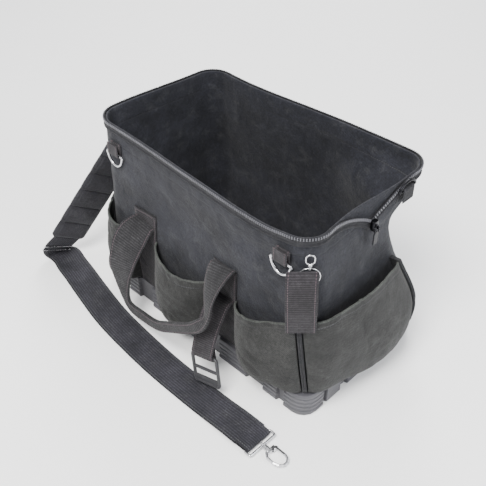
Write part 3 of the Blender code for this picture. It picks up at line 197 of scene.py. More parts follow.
# Dents and swells of the shell: plan place as shares of the half length and half width,
# plan reach as a share of the base width, height share, reach up and down as height shares,
# and the push along X and Y as shares of PINCH
DENTS = (
    ("front swell", 0.45, -1.0, 0.95, 1.00, 0.50, 0.50, 0.00, -0.16),
    ("front hollow", -0.20, -1.0, 0.50, 0.70, 0.24, 0.26, 0.00, 0.12),
    ("fold under the front rim", 0.50, -1.0, 0.40, 0.84, 0.07, 0.09, 0.00, 0.08),
    ("back hollow", -0.55, 1.0, 0.80, 0.92, 0.50, 0.55, 0.00, -0.26),
    ("pinch behind the right end", 0.98, 0.90, 0.72, 0.76, 0.21, 0.52, -0.22, -1.00),
    ("left end swell", -1.00, -0.55, 0.50, 1.00, 0.50, 0.40, -0.16, 0.00),
    ("right end hollow", 1.00, -0.25, 0.38, 0.98, 0.50, 0.30, -0.16, 0.00),
)

# Height of the rim round the mouth: run, share of RIM_WAVE above or below RIM_HEIGHT
RIM_LINE = (
    (0.0, -0.40),
    (0.30 * BASE_LENGTH, -1.00),
    (CORNERS["front_right"], 0.10),
    (RIGHT_MIDDLE, 0.00),
    (RIGHT_MIDDLE + END_RUN / 2 + ARC_RUN / 2, 0.60),
    (BACK_MIDDLE, 0.00),
    (CORNERS["back_left"], -0.50),
    (LEFT_MIDDLE, 0.00),
    (CORNERS["front_left"], 0.30),
    (LOOP_RUN, -0.40),
)

# Cleats on each side of the tray: side, middle and length as shares of the side, ribbed or not
CLEATS = (
    ("end", -0.265, 0.118, False),
    ("end", -0.015, 0.230, True),
    ("end", 0.228, 0.149, True),
    ("front", -0.355, 0.060, True),
    ("front", -0.180, 0.130, True),
    ("front", 0.000, 0.130, True),
    ("front", 0.180, 0.130, True),
    ("front", 0.355, 0.060, True),
)

# Front handle from its left leg round to its right: for the outer edge and then the inner
# edge, the place along the front from the handle's middle (share of HANDLE_SPREAD), the reach
# out from the wall (share of HANDLE_REACH) and the height (share of HANDLE_RISE), and last the
# thickness as a share of HANDLE_THICK
FRONT_HANDLE = (
    (-0.98, 0.01, 0.985, -0.60, 0.01, 0.925, 1.0),
    (-0.99, 0.20, 0.990, -0.60, 0.10, 0.915, 1.0),
    (-1.00, 0.49, 0.965, -0.60, 0.29, 0.840, 1.0),
    (-1.01, 0.71, 0.880, -0.60, 0.47, 0.765, 1.0),
    (-1.01, 0.85, 0.760, -0.60, 0.62, 0.700, 1.0),
    (-1.00, 0.95, 0.625, -0.60, 0.75, 0.625, 1.1),
    (-0.96, 0.90, 0.480, -0.66, 0.80, 0.505, 1.5),
    (-0.85, 0.88, 0.277, -0.69, 0.86, 0.315, 2.1),
    (-0.68, 0.90, 0.170, -0.62, 0.88, 0.275, 2.1),
    (-0.34, 0.93, 0.180, -0.38, 0.90, 0.290, 2.1),
    (-0.02, 0.98, 0.235, -0.08, 0.95, 0.330, 2.1),
    (0.24, 0.98, 0.320, 0.16, 0.95, 0.415, 2.1),
    (0.75, 0.98, 0.540, 0.65, 0.95, 0.625, 2.1),
    (0.96, 0.95, 0.660, 0.82, 0.88, 0.720, 1.8),
    (1.06, 0.89, 0.805, 0.90, 0.79, 0.775, 1.4),
    (1.04, 0.75, 0.915, 0.76, 0.57, 0.845, 1.0),
    (1.04, 0.57, 1.005, 0.62, 0.32, 0.880, 1.0),
    (1.04, 0.32, 1.065, 0.57, 0.19, 0.950, 1.0),
    (1.04, 0.10, 1.095, 0.56, 0.08, 1.020, 1.0),
    (1.04, 0.01, 1.090, 0.56, 0.01, 1.030, 1.0),
)

# Back handle in the same columns, hanging plainly
BACK_HANDLE = (
    (-1.00, 0.034, 0.975, -0.58, 0.034, 0.945, 1.0),
    (-1.00, 0.25, 0.960, -0.58, 0.25, 0.925, 1.0),
    (-1.00, 0.50, 0.830, -0.60, 0.48, 0.800, 1.0),
    (-0.96, 0.58, 0.620, -0.68, 0.58, 0.640, 1.4),
    (-0.76, 0.60, 0.440, -0.64, 0.60, 0.530, 2.1),
    (-0.35, 0.62, 0.360, -0.32, 0.62, 0.465, 2.1),
    (0.00, 0.62, 0.350, 0.00, 0.62, 0.455, 2.1),
    (0.35, 0.62, 0.360, 0.32, 0.62, 0.465, 2.1),
    (0.76, 0.60, 0.440, 0.64, 0.60, 0.530, 2.1),
    (0.96, 0.58, 0.620, 0.68, 0.58, 0.640, 1.4),
    (1.00, 0.50, 0.830, 0.60, 0.48, 0.800, 1.0),
    (1.00, 0.25, 0.960, 0.58, 0.25, 0.925, 1.0),
    (1.00, 0.026, 0.975, 0.58, 0.026, 0.945, 1.0),
)

# Shoulder strap from the pad's foot to its right loop: place along X as a share of the half
# length, place along Y as a share of STRAP_LANE, height in strap thicknesses, and how much the
# strap still stands on edge as the pad does
STRAP_ROWS = (
    (-1.465, 0.815, 11.0, 0.90),
    (-1.505, 0.820, 6.2, 0.55),
    (-1.515, 0.800, 2.9, 0.18),
    (-1.490, 0.775, 1.0, 0.02),
    (-1.430, 0.775, 0.5, 0.00),
    (-1.340, 0.800, 0.5, 0.00),
    (-1.190, 0.832, 0.5, 0.00),
    (-0.960, 0.886, 0.5, 0.00),
    (-0.650, 0.951, 0.5, 0.00),
    (-0.350, 0.984, 0.5, 0.00),
    (0.000, 1.005, 0.5, 0.00),
    (0.350, 1.005, 0.5, 0.00),
    (0.560, 1.000, 0.8, 0.00),
    (0.700, 1.000, 1.9, 0.00),
    (0.850, 1.000, 2.3, 0.00),
)

# Pockets: hem height at the start, middle and end as shares of HEM_HEIGHT, and belly towards the
# start and the end as shares of POCKET_DEPTH
POCKETS = {
    "front_left": (1.000, 0.933, 0.973, 0.45, 0.90),
    "front_middle": (0.893, 0.840, 0.920, 0.88, 0.88),
    "front_right": (0.867, 0.940, 1.093, 0.83, 0.55),
    "right_end": (1.120, 1.147, 1.113, 0.55, 1.00),
    "back_right": (0.900, 0.867, 0.900, 0.50, 0.55),
    "back_left": (1.033, 1.000, 1.033, 0.40, 0.35),
    "left_end": (1.033, 1.067, 1.000, 0.50, 0.10),
}

# Profile of a pocket from its foot on the shell up to its hem:
# rise share, share of the belly, share of POCKET_DROP
POCKET_PROFILE = (
    (0.00, 0.00, 0.0),
    (0.005, 0.42, 0.0),
    (0.01, 0.80, 1.0),
    (0.06, 0.97, 0.7),
    (0.22, 1.00, 0.0),
    (0.45, 0.98, 0.0),
    (0.72, 0.84, 0.0),
    (1.00, 0.62, 0.0),
)

# Sizes of the looks alone
WRINKLE = 0.0018
POCKET_FOLD = 0.0030
POCKET_CREASE = 0.0016
HEM_WIRE = 0.0030
HEM_BAND = 0.009  # how far below its hem a pocket's stitch line runs
HEM_THICK = 1.25
# height below the rim of the shell's stitched seam, which carries painted shade along its groove
RIM_SEAM = 0.026
TOOTH_PITCH = 0.0031
BUCKLE_FAT = 1.45
ADJUSTER_WIRE = 0.0018
ADJUSTER_LENGTH = 0.013
TOOTH_LENGTH = 0.0036
TOOTH_PROUD = 0.0011
STITCH_PITCH = 0.0036
STITCH_WIDTH = 0.0009
STITCH_IN = 0.003  # how far a seam runs in from a webbing's edge
SHARP = math.radians(42)  # edges sharper than this keep their crease
TAPE_STEP = 0.004  # lengths of the meshes' steps
POCKET_STEP = 0.0035
TRAY_STEP = 0.004
GATHER = 0.0006  # gathers at a pocket's foot
RIB_MARGIN = 0.004  # plain height under and over the tray's ribs
TRAY_ROUND = 0.0028  # height over which the tray's edges are rounded
TRAY_EDGE = 0.0012
LOOP_SLACK = 0.004  # how far the corner loop's front swells off the corner
LOOP_TURN = 0.008  # how far under its top the loop bends over
LOOP_STRAIGHT = 0.030
LOOP_BACK_ENDS = (0.035, 0.018)  # the back layer's ends, from the top and from the foot
PAD_STEPS = (120, 22)  # steps along the pad and across it
PAD_BOUND = 0.86  # share of the half width where the pad's binding starts
ADJUSTER_PLACE = 7  # point of the strap's middle line where its adjuster sits
LIP_PLACES = (0.34, 0.42)  # the buckle's lips, as shares of its length from its middle

# Turned pieces: share of the length, and radius in knob radii or in buckle wires
KNOB_PROFILE = ((0.0, 0.55), (0.12, 0.85), (0.3, 1.0), (0.45, 0.92), (0.55, 0.92), (0.7, 1.0),
                (0.88, 0.85), (1.0, 0.5))
BAR_PROFILE = ((0.0, 0.6), (0.1, 0.7), (0.9, 0.7), (1.0, 0.6))

# Studio: lights as name, place, height aimed at, size, power and colour, and the camera
LIGHTS = (
    ("key", (0.3, -1.1, 1.9), 0.1, 1.0, 92.0, (1.0, 0.99, 0.97)),
    ("side", (1.8, 0.2, 1.1), 0.15, 0.9, 26.0, (0.95, 0.97, 1.0)),
    ("back", (-1.2, 1.5, 1.6), 0.15, 1.2, 44.0, (1.0, 1.0, 1.0)),
)
SKY = (0.93, 0.94, 0.96, 1.0)
FLOOR_REACH = 6.0
CAMERA_LENS = 56.15
CAMERA_PLACE = (0.571, -0.605, 0.807)
CAMERA_YAW, CAMERA_PITCH = math.radians(44.6), math.radians(39.9)

# Record slot that each finish belongs to
SLOTS = {"shell": "shell_cloth", "pocket": "pocket_cloth", "hem": "pocket_cloth",
         "handle": "pocket_cloth", "webbing": "webbing", "strap": "webbing", "trim": "trim",
         "teeth": "trim", "pad": "pad_cloth", "tray": "tray_plastic", "buckle": "dark_plastic",
         "steel": "steel", "black_steel": "black_steel"}

RIGHT, BACK, UP = np.eye(3)


def smooth_table(value, rows):
    """Read a table of (place, size) rows with a soft step from each row to the next."""
    places = [row[0] for row in rows]
    index = min(max(np.searchsorted(places, value) - 1, 0), len(rows) - 2)
    share = (value - places[index]) / (places[index + 1] - places[index])
    share = min(max(share, 0.0), 1.0)
    share = share * share * (3 - 2 * share)
    return rows[index][1] + share * (rows[index + 1][1] - rows[index][1])


def smooth_rows(rows, steps):
    """Points of a smooth curve through every row, with some steps from each row to the next."""
    rows = np.array(rows, float)
    ends = np.vstack((2 * rows[0] - rows[1], rows, 2 * rows[-1] - rows[-2]))
    made = []
    for index in range(1, len(ends) - 2):
        before, start, end, after = ends[index - 1:index + 3]
        for share in np.arange(steps) / steps:
            made.append(
                0.5 * (2 * start + (end - before) * share
                       + (2 * before - 5 * start + 4 * end - after) * share ** 2
                       + (3 * start - before - 3 * end + after) * share ** 3))
    made.append(rows[-1])
    return np.array(made)


def unit(vector):
    vector = np.array(vector, float)
    return vector / np.linalg.norm(vector)


def outline(run, length, width, corner):
    """Point and outward normal of a rounded rectangle, a run from its front middle."""
    sides = (length - 2 * corner, width - 2 * corner) * 2
    arc = corner * math.pi / 2
    left = (run + sides[0] / 2) % (sum(sides) + 4 * arc)
    for side, side_run in enumerate(sides):
        turn = side * math.pi / 2
        along = np.array((math.cos(turn), math.sin(turn)))
        out = np.array((math.sin(turn), -math.cos(turn)))
        depth = (length if side % 2 else width) / 2
        if left <= side_run:
            return along * (left - side_run / 2) + out * depth, out
        left -= side_run
        if left <= arc:
            facing = out * math.cos(left / corner) + along * math.sin(left / corner)
            return along * side_run / 2 + out * (depth - corner) + facing * corner, facing
        left -= arc
    return outline(0.0, length, width, corner)


def fade(distance, reach):
    """Share that falls softly from 1 at no distance to 0 at the reach."""
    return math.cos(min(distance / reach, 1.0) * math.pi / 2) ** 2


def circle(count):
    """Even turns round a full circle, in radians."""
    return np.linspace(0.0, 2 * math.pi, count + 1)[:-1]


def flat_circle(width, count):
    return [(width / 2 * math.cos(turn), width / 2 * math.sin(turn)) for turn in circle(count)]


def selvedge(share):
    """Thickness share of webbing at a place across it, from -1 to 1."""
    return (1 - abs(share) ** 10) ** 0.5


def blunt(value, power):
    return np.sign(value) * abs(value) ** power


def to_front(vector):
    return vector if vector[1] < 0 else -vector


def centre_of(node):
    return np.mean([tuple(corner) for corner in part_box(node)], axis=0)


def rounded_loop(length, width, corner, steps):
    """Flat points of a rounded rectangle, as (along, across) pairs."""
    made = []
    for quarter in range(4):
        centre = ((1 if quarter in (0, 3) else -1) * (length / 2 - corner),
                  (1 if quarter < 2 else -1) * (width / 2 - corner))
        for step in range(steps + 1):
            turn = math.pi / 2 * (quarter + step / steps)
            made.append((centre[0] + corner * math.cos(turn), centre[1] + corner * math.sin(turn)))
    return made


def placed(flat, centre, along, across):
    """Flat points put in space on two directions."""
    return [np.array(centre) + np.array(along) * a + np.array(across) * b for a, b in flat]


def fold_rows(bar, heading, normal, radius, tail):
    """Middle line of webbing that comes along the heading and folds back under a bar."""
    rows = [bar + normal * radius - heading * tail / 3, bar + normal * radius]
    rows += [bar + radius * (normal * math.cos(turn) + heading * math.sin(turn))
             for turn in np.linspace(0.0, math.pi, 6)[1:-1]]
    rows += [bar - normal * radius, bar - normal * radius - heading * tail]
    return rows


def tray_stations():
    """Runs round the tray, how proud it stands at each, and whether it is ribbed there."""
    arc = BASE_CORNER * math.pi / 2
    rows = []
    start = BASE_CORNER - BASE_LENGTH / 2
    for name, whole in (("front", BASE_LENGTH), ("end", BASE_WIDTH)) * 2:
        side = whole - 2 * BASE_CORNER
        foot = side / 2 - FOOT_REACH
        marks = [(-foot, 1.0, 1.0), (-foot + CLEAT_RAMP, 0.0, 0.0)]
        for cleat_side, place, length, ribbed in CLEATS:
            if cleat_side == name:
                low, high = (place - length / 2) * whole, (place + length / 2) * whole
                marks += [(low - CLEAT_RAMP, 0.0, 0.0), (low, 1.0, float(ribbed)),
                          (high, 1.0, float(ribbed)), (high + CLEAT_RAMP, 0.0, 0.0)]
        marks += [(foot - CLEAT_RAMP, 0.0, 0.0), (foot, 1.0, 1.0)]
        rows += [(start + side / 2 + place, proud, ribbed) for place, proud, ribbed in marks]
        rows += [(start + side + arc * step / 4, 1.0, 1.0) for step in range(5)]
        start += side + arc
    return rows


def wrinkle(place, share):
    """How far the cloth stands out in small swells and creases, in metres."""
    x, y = place
    soft = noise.noise(Vector((x * 11, y * 11, share * 3.1)))
    fine = noise.noise(Vector((x * 30 + 7, y * 30, share * 6.3)))
    crease = noise.noise(Vector((x * 19 + share * 4, y * 19 + 3, share * 7 - x * 9)))
    crease = max(0.0, 0.35 - abs(crease)) / 0.35
    edge = min(share / 0.15, (1.0 - share) / 0.10, 1.0)
    pucker = noise.noise(Vector((x * 62, y * 62, share * 2.5))) * max(0.0, (share - 0.72) / 0.28)
    fine += 2.2 * pucker
    return max(edge, 0.0) * (WRINKLE * soft + WRINKLE * 0.35 * fine - WRINKLE * 0.5 * crease ** 3)


def smooth_section(share, column):
    """One column of SECTIONS read along a smooth curve."""
    heights = [row[0] for row in SECTIONS]
    values = [row[column] for row in SECTIONS]
    near = [np.interp(share + step, heights, values) for step in (-0.05, -0.025, 0.0, 0.025, 0.05)]
    return float(np.mean(near))


def shell_point(run, share):
    """Outer face of the shell at a run and a share of the height from its floor to the rim."""
    taper = smooth_section(share, 1)
    bulge = smooth_section(share, 2)
    place, facing = outline(run, SHELL_LENGTH, SHELL_WIDTH, SHELL_CORNER)
    shrink = np.array((MOUTH_LENGTH / SHELL_LENGTH - 1, MOUTH_WIDTH / SHELL_WIDTH - 1))
    plan = place * (1 + taper * shrink) + facing * SIDE_BULGE * bulge
    push = np.zeros(2)
    for _, x_share, y_share, reach, height, reach_up, reach_down, push_x, push_y in DENTS:
        centre = np.array((x_share * SHELL_LENGTH / 2, y_share * SHELL_WIDTH / 2))
        spread = fade(np.linalg.norm(place - centre), reach * BASE_WIDTH)
        spread *= fade(abs(share - height), reach_up if share > height else reach_down)
        push += np.array((push_x, push_y)) * PINCH * spread
    plan = plan + push + facing * wrinkle(place, share)
    rim = RIM_HEIGHT + RIM_WAVE * smooth_table(run % LOOP_RUN, RIM_LINE)
    return np.array((*plan, SHELL_FLOOR + share * (rim - SHELL_FLOOR)))


RUN_COUNT, SHARE_COUNT = 420, 90
WALL = np.array([[shell_point(LOOP_RUN * column / RUN_COUNT, row / (SHARE_COUNT - 1))
                  for row in range(SHARE_COUNT)] for column in range(RUN_COUNT)])


def on_wall(run, share):
    """Point on the smooth shell at a run and a height share."""
    column, across = divmod((run % LOOP_RUN) / LOOP_RUN * RUN_COUNT, 1.0)
    row, up = divmod(min(max(share, 0.0), 1.0) * (SHARE_COUNT - 1), 1.0)
    column, row = int(column) % RUN_COUNT, min(int(row), SHARE_COUNT - 2)
    up = min(max(share, 0.0), 1.0) * (SHARE_COUNT - 1) - row
    following = (column + 1) % RUN_COUNT
    low = WALL[column, row] * (1 - across) + WALL[following, row] * across
    high = WALL[column, row + 1] * (1 - across) + WALL[following, row + 1] * across
    return low * (1 - up) + high * up


def facing_at(run):
    return outline(run, SHELL_LENGTH, SHELL_WIDTH, SHELL_CORNER)[1]


def ways_at(run):
    """Level directions at a run: out of the wall, and along it."""
    x, y = facing_at(run)
    return np.array((x, y, 0.0)), np.array((-y, x, 0.0))


def wall(run, height, out=0.0):
    """Point at a height, standing off the smooth shell by out."""
    rim = on_wall(run, 1.0)[2]
    point = on_wall(run, (height - SHELL_FLOOR) / (rim - SHELL_FLOOR))
    facing = facing_at(run)
    return np.array((point[0] + facing[0] * out, point[1] + facing[1] * out, height))


def finish_mesh(name, work, lay, finish, body="bag", replaces=()):
    """Object from a bmesh, with its corner values for the weave, riding on its body."""
    material, slot = finish
    mesh = bpy.data.meshes.new(name)
    work.to_mesh(mesh)
    work.free()
    if lay is not None:
        values = mesh.attributes.new("lay", "FLOAT_VECTOR", "CORNER")
        values.data.foreach_set("vector", np.array(lay, np.float32).ravel())
    mesh.shade_smooth()
    mesh.set_sharp_from_angle(angle=SHARP)
    mesh.materials.append(material)
    made = bpy.data.objects.new(name, mesh)
    bpy.context.scene.collection.objects.link(made)
    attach(made, body)
    if replaces:
        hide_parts(*replaces)
    return made


def loft(name, rings, finish, body="bag", replaces=(), closed=False, seam=None, capped=False):
    """Closed solid through equal rings of points, its corners carrying (along, across, seam)."""
    rings = np.array(rings, float)
    count, sides = rings.shape[:2]
    steps = np.linalg.norm(np.diff(rings, axis=0), axis=2).mean(axis=1)
    along = np.concatenate(((0.0,), np.cumsum(steps)))
    if closed:
        along = np.append(along, along[-1] + np.linalg.norm(rings[0] - rings[-1], axis=1).mean())
    round_steps = np.linalg.norm(np.roll(rings, -1, axis=1) - rings, axis=2).mean(axis=0)
    across = np.concatenate(((0.0,), np.cumsum(round_steps)))
    seam = np.ones((count, sides)) if seam is None else np.array(seam, float)
    seam = np.pad(seam, ((0, 1), (0, 1)), mode="wrap")
    work = bmesh.new()
    verts = [[work.verts.new(tuple(point)) for point in ring] for ring in rings]
    lay = []
    for ring in range(count if closed else count - 1):
        for side in range(sides - 1 if capped else sides):
            corners = ((ring, side), (ring + 1, side), (ring + 1, side + 1), (ring, side + 1))
            work.faces.new([verts[a % count][b % sides] for a, b in corners])
            lay += [(along[a], across[b], seam[a, b]) for a, b in corners]
    if not closed:
        for ring in (0, count - 1):
            work.faces.new(verts[ring])
            lay += [(along[ring], across[side], seam[ring, side]) for side in range(sides)]
    if capped:
        for side in (0, sides - 1):
            work.faces.new([column[side] for column in verts])
            lay += [tuple(rings[ring, side]) for ring in range(count)]
        bmesh.ops.recalc_face_normals(work, faces=work.faces)
    else:
        work.normal_update()
    if work.calc_volume(signed=True) < 0:
        flipped = []
        for face in work.faces:
            face.normal_flip()
            part = lay[len(flipped):len(flipped) + len(face.verts)]
            flipped += part[:1] + part[:0:-1]
        lay = flipped
    return finish_mesh(name, work, lay, finish, body, replaces)


def skin_ring(inner, outer):
    """One ring up an inner line of points and back down an outer one."""
    return list(inner) + list(outer)[::-1]


def ribbon(name, first_edge, second_edge, thick, finish, replaces=(), parts=12):
    """Webbing between two edge lines with rounded selvedges."""
    first_edge, second_edge = np.array(first_edge), np.array(second_edge)
    heading = np.gradient((first_edge + second_edge) / 2, axis=0)
    depths = np.broadcast_to(thick, len(first_edge))
    shares = np.cos(np.linspace(math.pi, 0.0, parts + 1))
    rings, seams = [], []
    for start, end, way, depth in zip(first_edge, second_edge, heading, depths):
        normal = unit(np.cross(way, end - start))
        width = np.linalg.norm(end - start)
        line = [start + (end - start) * (share + 1) / 2 for share in shares]
        half = [normal * depth / 2 * selvedge(share) for share in shares]
        bottom = [point - out for point, out in zip(line, half)]
        rings.append([point + out for point, out in zip(line, half)] + bottom[-2:0:-1])
        own = [width / 2 * (1 - abs(share)) - STITCH_IN for share in shares]
        seams.append(own + own[-2:0:-1])
    return loft(name, rings, finish, replaces=replaces, seam=seams)


def band(name, middle, across, width, thick, finish, **rest):
    """Ribbon along a middle line, with its width along the across directions."""
    middle = np.array(middle)
    half = np.array([unit(way) for way in np.broadcast_to(across, middle.shape)])
    half *= np.reshape(width, (-1, 1)) / 2
    return ribbon(name, middle - half, middle + half, thick, finish, **rest)


def eased_loop(points, steps):
    """Closed path with its corners eased by a smooth curve through its points."""
    points = np.array(points, float)
    eased = smooth_rows(np.vstack((points[-1:], points, points[:2])), steps)
    return eased[steps:steps + len(points) * steps]


def flat_loop(name, points, normal, wire, finish, closed=True, sides=14, body="bag", replaces=()):
    """Round wire along a flat path, joined end to end if closed."""
    points, normal = np.array(points, float), unit(normal)
    rings = []
    for index, point in enumerate(points):
        before, after = index - 1, (index + 1) % len(points)
        if not closed:
            before, after = max(before, 0), min(index + 1, len(points) - 1)
        side = np.cross(unit(points[after] - points[before]), normal)
        rings.append([point + wire / 2 * (side * math.cos(turn) + normal * math.sin(turn))
                      for turn in circle(sides)])
    return loft(name, rings, finish, body=body, replaces=replaces, closed=closed)


def turned(name, start, end, profile, finish):
    """Round piece from start to end: rows of (share of the length, radius)."""
    axis = unit(end - start)
    side = unit(np.cross(axis, UP if abs(axis[2]) < 0.9 else RIGHT))
    up = np.cross(axis, side)
    rings = [[start + (end - start) * share + radius * (side * math.cos(turn) + up * math.sin(turn))
              for turn in circle(24)] for share, radius in profile]
    return loft(name, rings, finish)


def make_shell(finish):
    """Fabric shell: outer cloth, a folded rim and the plain lining inside."""
    rings, seams = [], []
    for column in range(RUN_COUNT):
        run = LOOP_RUN * column / RUN_COUNT
        facing = ways_at(run)[0]
        outer = [on_wall(run, share) for share in np.linspace(0.0, 1.0, 56)]
        inner = [point - facing * FABRIC for point in outer[::-1]]
        lip = [outer[-1] - facing * FABRIC * (1 - math.cos(turn)) / 2
               + UP * FABRIC / 2 * math.sin(turn) for turn in (0.8, 1.57, 2.34)]
        inner[-1] = inner[-1] + UP * FABRIC
        rings.append(outer + lip + inner)
        seam_height = outer[-1][2] - RIM_SEAM
        seams.append([min(abs(seam_height - point[2]), 1.0) for point in rings[-1]])
    return loft("bag_shell", rings, finish, replaces=("body_shell",), closed=True, seam=seams,
                capped=True)


def tape_drop(run):
    """How far the zip tape dips below the rim near the slider, as a share of ZIP_DROP."""
    distance = abs((run - RIGHT_MIDDLE - ZIP_PLACE + LOOP_RUN / 2) % LOOP_RUN - LOOP_RUN / 2)
    return max(1.0 - distance / (0.30 * BASE_WIDTH), 0.0) ** 1.5


def tape_point(run, share, out):
    """Point on the zip tape: share 0 at its lower edge and 1 at its upper edge."""
    drop = tape_drop(run)
    rim = on_wall(run, 1.0)[2]
    top = rim + TAPE_PROUD - ZIP_DROP * drop
    stand = CLOTH_SEAT + ZIP_FLARE * drop * (1 + share) + out
    height = top - TAPE_WIDTH * (1 - share)
    point = wall(run, min(height, rim), stand)
    point[2] = height
    return point


def make_tape(name, start, end, finish, replaces):
    """Zip tape with a sewn fold along its foot and a beaded edge for the teeth."""
    rings, seams = [], []
    shares = (0.0, 0.04, 0.10, 0.16, 0.24, 0.32, 0.40, 0.60, 0.72, 0.80, 0.90, 0.97, 1.0)
    depths = (0.4, 0.9, 1.25, 1.3, 1.15, 0.75, 0.62, 0.62, 0.70, 1.05, 1.1, 0.9, 0.4)
    count = max(int((end - start) / TAPE_STEP), 8)
    for run in np.linspace(start, end, count):
        inner = [tape_point(run, share, 0.0) for share in shares]
        outer = [tape_point(run, share, TAPE_THICK * depth)
                 for share, depth in zip(shares, depths)]
        rings.append(skin_ring(inner, outer))
        own = [abs(share - 0.42) * TAPE_WIDTH for share in shares]
        seams.append(own + own[::-1])
    return loft(name, rings, finish, replaces=replaces, seam=seams)


def make_teeth(name, start, end, finish):
    """Coil teeth along a zip tape's upper edge."""
    work = bmesh.new()
    count = int((end - start) / TOOTH_PITCH)
    for step in range(count):
        run = start + TOOTH_PITCH * (step + 0.5)
        centre = tape_point(run, 0.86, TAPE_THICK * 1.1)
        along = unit(tape_point(run + 0.001, 0.86, TAPE_THICK * 1.1) - centre)
        out = ways_at(run)[0]
        up = np.cross(out, along)
        up = up if up[2] > 0 else -up
        corners = []
        for a, b, c in ((-1, -1, 0), (1, -1, 0), (1, 1, 0), (-1, 1, 0),
                        (-0.6, -0.8, 1), (0.6, -0.8, 1), (0.6, 0.8, 1), (-0.6, 0.8, 1)):
            corners.append(work.verts.new(tuple(
                centre + along * a * TOOTH_PITCH * 0.30 + up * b * TOOTH_LENGTH / 2
                + out * (c * TOOTH_PROUD - 0.0002))))
        for face in ((3, 2, 1, 0), (4, 5, 6, 7), (0, 1, 5, 4), (1, 2, 6, 5), (2, 3, 7, 6),
                     (3, 0, 4, 7)):
            work.faces.new([corners[index] for index in face])
    bmesh.ops.recalc_face_normals(work, faces=work.faces)
    return finish_mesh(name, work, None, finish)


def beside(corner, side, turn=0.0):
    """Foot and hem runs of a pocket edge that stops beside a corner piping."""
    slant = PIPING_SLANT if corner == "front_right" else 0.0
    run = CORNERS[corner] + turn + side * (PIPING_WIDTH / 2 + SEAT)
    return run, run - slant


def beside_strip(leg, side):
    """Foot and hem runs of a pocket edge that stops beside a handle strip."""
    return (leg + side * (WEBBING / 2 + SEAT),) * 2


def make_binding(name, line, finish):
    """Round binding sewn over a pocket's hem."""
    rings = []
    for point, way in zip(line, np.gradient(np.array(line), axis=0)):
        out = unit(np.cross(unit(way), UP))
        rings.append([point + HEM_WIRE / 2 * (out * math.cos(turn) + UP * math.sin(turn))
                      for turn in circle(12)])
    return loft("hem_" + name, rings, finish)


def make_pocket(name, start, end, edges, finish, hem_finish):
    """Open pocket between two edges, each given by its foot and hem runs and its stand-off."""
    *hems, start_belly, end_belly = POCKETS[name]
    hems = [share * HEM_HEIGHT for share in hems]
    bellies = (start_belly * POCKET_DEPTH, end_belly * POCKET_DEPTH)
    foot = TRAY_HEIGHT + SEAT + POCKET_CLOTH
    profile = [row[0] for row in POCKET_PROFILE]
    rises = np.concatenate(((0.0, 0.005, 0.01, 0.03, 0.06), np.linspace(0.10, 0.90, 20),
                            (0.93, 0.945, 0.955, 0.97, 0.985, 1.0)))
    outs = [np.interp(rise, profile, [row[1] for row in POCKET_PROFILE]) for rise in rises]
    outs = np.concatenate((outs[:4], np.convolve(np.pad(outs, 2, mode="edge"), np.ones(5) / 5,
                                                 mode="valid")[4:]))
    rings, seams, hem_line = [], [], []
    count = max(int(abs(end[0] - start[0]) / POCKET_STEP), 14)
    for step in range(count + 1):
        across = step / count
        foot_run = start[0] + (end[0] - start[0]) * across
        hem = hems[0] * (1 - across) ** 2 + hems[2] * across ** 2
        hem += 2 * across * (1 - across) * (2 * hems[1] - (hems[0] + hems[2]) / 2)
        edge = edges[0] * (1 - across) + edges[1] * across
        belly = bellies[0] * (1 - across) + bellies[1] * across
        belly = edge + (belly - edge) * math.sin(math.pi * across) ** 0.6
        full = min(max((0.42 * belly + CLOTH_SEAT - CLEAR_OF_TRAY) / FABRIC, 0.0), 1.0)
        run = start[1] + (end[1] - start[1]) * across
        inner, outer, seam = [], [], []
        for rise, out in zip(rises, outs):
            drop = np.interp(rise, profile, [row[2] for row in POCKET_PROFILE])
            height = foot + (hem - foot) * rise - POCKET_DROP * drop * full
            fall = math.sin(math.pi * across) * min(rise * 6, 1.0)
            spot = Vector((foot_run * 16, rise * 2.0, belly * 8))
            fold = noise.noise(spot) * POCKET_FOLD * fall
            slope = Vector((foot_run * 26 + rise * 2.4, rise * 3.2 - foot_run * 9, belly * 5))
            fold -= max(0.0, 1 - abs(noise.noise(slope)) / 0.16) ** 2 * POCKET_CREASE * fall
            gather = math.sin(foot_run * 190 + 3 * noise.noise(spot)) * GATHER
            gather *= fall * max(0.0, 1 - abs(rise - 0.02) / 0.22)
            fat = POCKET_CLOTH * (HEM_THICK if rise > 0.94 else 1.0)
            place = foot_run + (run - foot_run) * min(max((height - foot) / (hem - foot), 0.0), 1.0)
            inner_out = max(CLOTH_SEAT + belly * out + fold + gather, CLOTH_SEAT)
            for line, stand in ((inner, inner_out), (outer, inner_out + fat)):
                point = wall(place, max(height, foot - POCKET_CLOTH), stand)
                point[2] = height
                line.append(point)
            seam.append(abs(hem - HEM_BAND - height) if rise > 0.5 else 1.0)
        if full > 0 or belly > 0.003:
            outer[0][2] -= POCKET_CLOTH
            outer[1][2] -= POCKET_CLOTH * 0.8
        rings.append(skin_ring(inner, outer))
        seams.append(seam + seam[::-1])
        hem_line.append((inner[-1] + outer[-1]) / 2 - UP * HEM_WIRE * 0.25)
    make_binding(name, hem_line, hem_finish)
    return loft("pocket_cloth_" + name, rings, finish,
                replaces=("pocket_" + name,), seam=seams)


